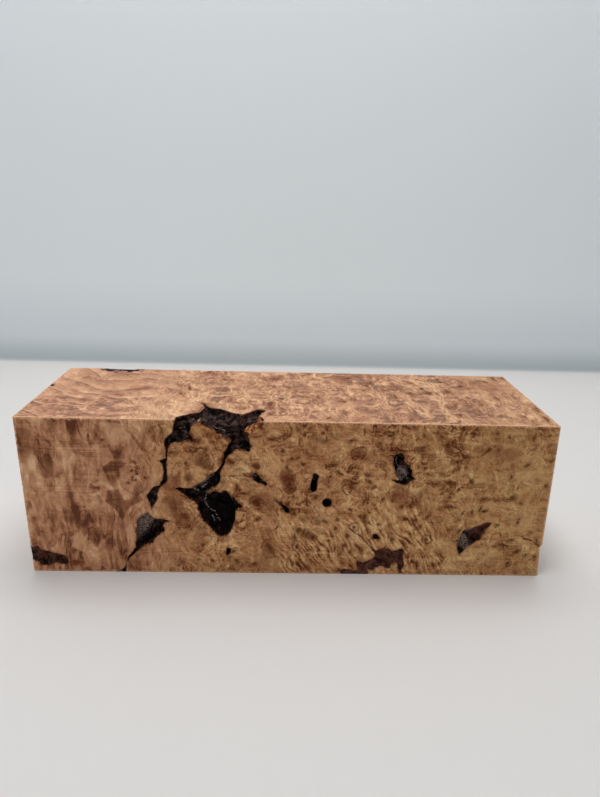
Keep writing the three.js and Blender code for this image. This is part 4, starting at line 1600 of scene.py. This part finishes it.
def bark_colour(s, p):
    """The bark's colour, and the patterns that its shine and relief are made from."""
    bent = s.noise_vector(p, 0.5, 1.6)
    plates = s.noise(bent, 0.6, 3.0, 0.6)
    crumbs = s.noise(bent, 2.4, 2.0, 0.6)
    black = front_pockets(s, p, BLACK_POCKETS, 0.6, 1.1)
    plates = plates + s.ramp(s.part(p, 2), 38, 47, 0.05)
    made = s.blend(s.ramp(plates, 0.46, 0.64) * (1 - black * 0.97), BLACK_BARK, BROWN_BARK)
    dull = front_pockets(s, p, DULL_POCKETS, 0.85, 1.1)
    patchy = s.ramp(plates, 0.4, 0.56) * 0.6 + s.ramp(crumbs, 0.42, 0.6) * 0.25
    made = s.blend(dull * (0.2 + patchy), made, DULL_BARK)
    grey = front_pockets(s, p, GREY_POCKETS, 0.6, 1.1)
    flakes = s.ramp((crumbs - 0.5).math("ABSOLUTE"), 0.035, 0.006)
    flakes = flakes * s.ramp(plates, 0.48, 0.6)
    glints = s.ramp(s.attribute("glint_mm") + (crumbs - 0.5) * 1.4, 0.2, 0.06)
    # Paler flake lines: partly paler bark, partly a painted highlight on the flakes.
    made = s.blend(flakes * (1 - black * 0.9) * 0.75, made, FLAKE_SHEEN_BROWN)
    made = s.blend(grey * s.ramp(crumbs, 0.38, 0.54) * 0.85, made, FLAKE_GREY)
    red = front_pockets(s, p, RED_POCKETS, 0.5, 1.1) * s.ramp(crumbs, 0.36, 0.56)
    made = s.blend(red * 0.75, made, RED_BARK)
    # Glints: painted highlights, pale lines laid on the bark's colour.
    made = s.blend(glints * 0.9, made, GLINT_HIGHLIGHT_GREY)
    return made, plates, crumbs, flakes, dull, black


# %% Burl material
TORN_DARK = colour(120, 58, 34)
TORN_PALE = colour(212, 148, 92)
ISLAND_TAN = colour(190, 128, 74)
CRUST_RADII = (10.0, 5.5, 5.0)


def raw_wood_colour(s, p, wood):
    """Wood colour with the broken chip and the worn top of the island over it."""
    splinter = s.ramp(s.noise(s.scaled(p, (1.3, 1.3, 0.45)), 1.0, 3.0), 0.4, 0.62)
    torn = s.blend(splinter, TORN_DARK, TORN_PALE)
    chip = s.ramp(s.attribute("chip"), 0.25, 0.75)
    island = s.ramp(s.attribute("island"), 0.3, 0.9)
    lit = s.ramp(s.part(p, 2) + splinter * 1.5, 43.5, 47.5)
    made = s.blend(island * lit * (0.35 + splinter * 0.4), wood, ISLAND_TAN)
    no_chip, no_island = (
        1 - s.ramp(s.attribute(name), 0.35, 0.65) for name in ("chip", "island")
    )
    return s.blend(chip * 0.9, made, torn), no_chip * no_island


def burl_material():
    s = Shader("maple_burl")
    place = s.node("ShaderNodeTexCoord", {}, {}, "Object")
    p = s.scaled(place, (1000, 1000, 1000))
    bark_mm = s.attribute("bark_mm")
    share = burl_share(s, p)
    wood, tone, lines = wood_colour(s, p, share, bark_mm)
    wood, bark_free = raw_wood_colour(s, p, wood)
    bark, plates, crumbs, flakes, dull, black = bark_colour(s, p)
    crust = s.ramp(s.spot(p, BACK_CRUST, CRUST_RADII), 1.0, 0.7)
    ragged = (s.noise(p, 2.2, 2.0) - 0.5) * 0.8
    ragged = ragged + (s.noise(p, 0.6, 2.0) - 0.36) * crust * 7
    skin = s.ramp(s.attribute("skin") + ragged * 0.5, 0.4, 0.6)
    in_bark = s.ramp(bark_mm + ragged, -0.05, 0.1).most(skin) * bark_free
    base = s.blend(in_bark, wood, bark)
    wood_rough = 0.64 - s.ramp(tone, 0.3, 0.8) * 0.1
    bark_rough = (0.24 + s.ramp(plates, 0.42, 0.62) * 0.3 + dull * 0.25).most(crust)
    rough = s.mix(in_bark, wood_rough, bark_rough)
    height = s.mix(in_bark, lines * 0.012, crumbs * 0.3 + plates * 0.9)
    bump = s.node("ShaderNodeBump", {}, {"Strength": 1.0, "Distance": MM, "Height": height})
    glossy = in_bark * (1 - dull.most(crust).most(black)) * flakes * 0.8
    shade = s.node("ShaderNodeBsdfPrincipled", {}, {
        "Base Color": base, "Roughness": rough, "Normal": bump,
        "Coat Weight": glossy, "Coat Roughness": 0.15, "Specular IOR Level": 0.07,
    })
    s.node("ShaderNodeOutputMaterial", {}, {"Surface": shade})
    return s.material


block.data.materials.append(burl_material())
print("material nodes:", len(block.data.materials[0].node_tree.nodes))

# %% [markdown]
# ## Flat map
# The paint that a game or a viewer needs is laid out by a flat map. Each face of the box
# gets its own rectangle at one scale, so the figure stays equally sharp everywhere.

# %% UV map
MAP_SIZE = 206.0
MAP_GAP = 1.5


def map_starts():
    """Where each face's rectangle begins: four long ones stacked, the ends beside them."""
    starts = {}
    rows = {"long": 0, "end": 0}
    for index, face in enumerate(FACES):
        kind = "end" if face.out[0] else "long"
        across = MAP_GAP + (LENGTH + MAP_GAP if kind == "end" else 0)
        starts[index] = (across, MAP_GAP + rows[kind] * (SECTION + MAP_GAP))
        rows[kind] += 1
    return starts


def lay_flat(block):
    starts = map_starts()
    offset = np.array([
        (starts[k][0] + FACES[k].half_u, starts[k][1] + FACES[k].half_v) for k in sides
    ])
    uv = (corners_uv + offset[:, None]) / MAP_SIZE
    layer = block.data.uv_layers.new(name="OFBake")
    layer.data.foreach_set("uv", uv.reshape(-1).astype(np.float32))
    print("map spans", uv.min().round(3), "to", uv.max().round(3))


lay_flat(block)

# %% Hand over
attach(block, "root")
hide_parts("burl_block")
print("fine mesh stands in for the model's block")

# %% [markdown]
# ## Stage
# The block stands on a pale matt floor that turns up into a pale wall behind it, as paper
# does in a light tent. The turn is tight, and a darker tint is painted at the foot of the
# wall as the shade where the turn begins; above it the wall's tints grow paler upwards,
# as painted light.

# %% Floor and wall
FLOOR_FRONT = -1.2
WALL_START = 0.200
TURN_RADIUS = 0.003
WALL_TOP = 1.4
STAGE_HALF = 1.6
TURN_STEPS = 24
FLOOR_TINT = colour(224, 221, 219)
# Going up the wall: where each tint begins, where it is full, and the tint. The first is
# painted shade at the wall's foot; the others grow paler upwards as painted light.
WALL_SHADE_AND_LIGHT_TINTS = [
    (0.0005, 0.002, colour(194, 205, 209)), (0.002, 0.02, colour(228, 237, 241)),
    (0.015, 0.06, colour(243, 251, 254)),
]


def stage_profile():
    """Side view of the sweep as a list of (y, z)."""
    turn = [
        (WALL_START + TURN_RADIUS * math.sin(a), TURN_RADIUS * (1 - math.cos(a)))
        for a in np.linspace(0, math.pi / 2, TURN_STEPS)
    ]
    return [(FLOOR_FRONT, 0.0), *turn, (WALL_START + TURN_RADIUS, WALL_TOP)]


def make_stage():
    places = []
    for y, z in stage_profile():
        places += [(-STAGE_HALF, y, z), (STAGE_HALF, y, z)]
    count = len(places) // 2 - 1
    faces = [(2 * i, 2 * i + 1, 2 * i + 3, 2 * i + 2) for i in range(count)]
    data = bpy.data.meshes.new("sweep")
    data.from_pydata(places, [], faces)
    data.polygons.foreach_set("use_smooth", [True] * len(faces))
    sweep = add_object("sweep", data)
    s = Shader("pale_paper")
    place = s.node("ShaderNodeTexCoord", {}, {}, "Object")
    height = s.part(place, 2)
    base = FLOOR_TINT
    # Painted shade at the wall's foot, then paler painted light further up the wall.
    for start, full, tint in WALL_SHADE_AND_LIGHT_TINTS:
        base = s.blend(s.ramp(height, start, full), base, tint)
    shade = s.node("ShaderNodeBsdfPrincipled", {}, {"Base Color": base, "Roughness": 0.85})
    s.node("ShaderNodeOutputMaterial", {}, {"Surface": shade})
    data.materials.append(s.material)
    return sweep


make_stage()
print("stage set")

# %% [markdown]
# ## Light
# The light is soft and comes from above and a little behind, so the top is about three
# times as bright as the front, which is lit mostly by what the floor throws back.

# %% Lights
# Each light: name, place, what it points at, size in metres, power in watts, tint.
LIGHTS = [
    ("overhead", (0.02, 0.10, 0.62), (0, 0, 0), 0.42, 2.0, (1.0, 0.985, 0.965)),
    ("front_fill", (-0.25, -0.7, 0.45), (0, 0, 0.02), 0.7, 0.5, (0.98, 0.99, 1.0)),
    ("wall_light", (-0.15, -0.15, 0.85), (-0.1, 0.24, 0.35), 0.3, 1.9, (1.0, 1.0, 1.0)),
]
SKY = (0.92, 0.96, 1.0, 1)
SKY_STRENGTH = 0.2


def area_light(name, place, target, size, power, tint):
    data = bpy.data.lights.new(name, "AREA")
    data.shape = "DISK"
    data.size = size
    data.energy = power
    data.color = tint
    light = add_object(name, data)
    light.location = place
    toward = Vector(target) - Vector(place)
    light.rotation_euler = toward.to_track_quat("-Z", "Y").to_euler()
    return light


for light in LIGHTS:
    area_light(*light)
world = bpy.data.worlds.new("tent")
world.use_nodes = True
world.node_tree.nodes["Background"].inputs["Color"].default_value = SKY
world.node_tree.nodes["Background"].inputs["Strength"].default_value = SKY_STRENGTH
bpy.context.scene.world = world
bpy.context.scene.view_settings.view_transform = "Standard"
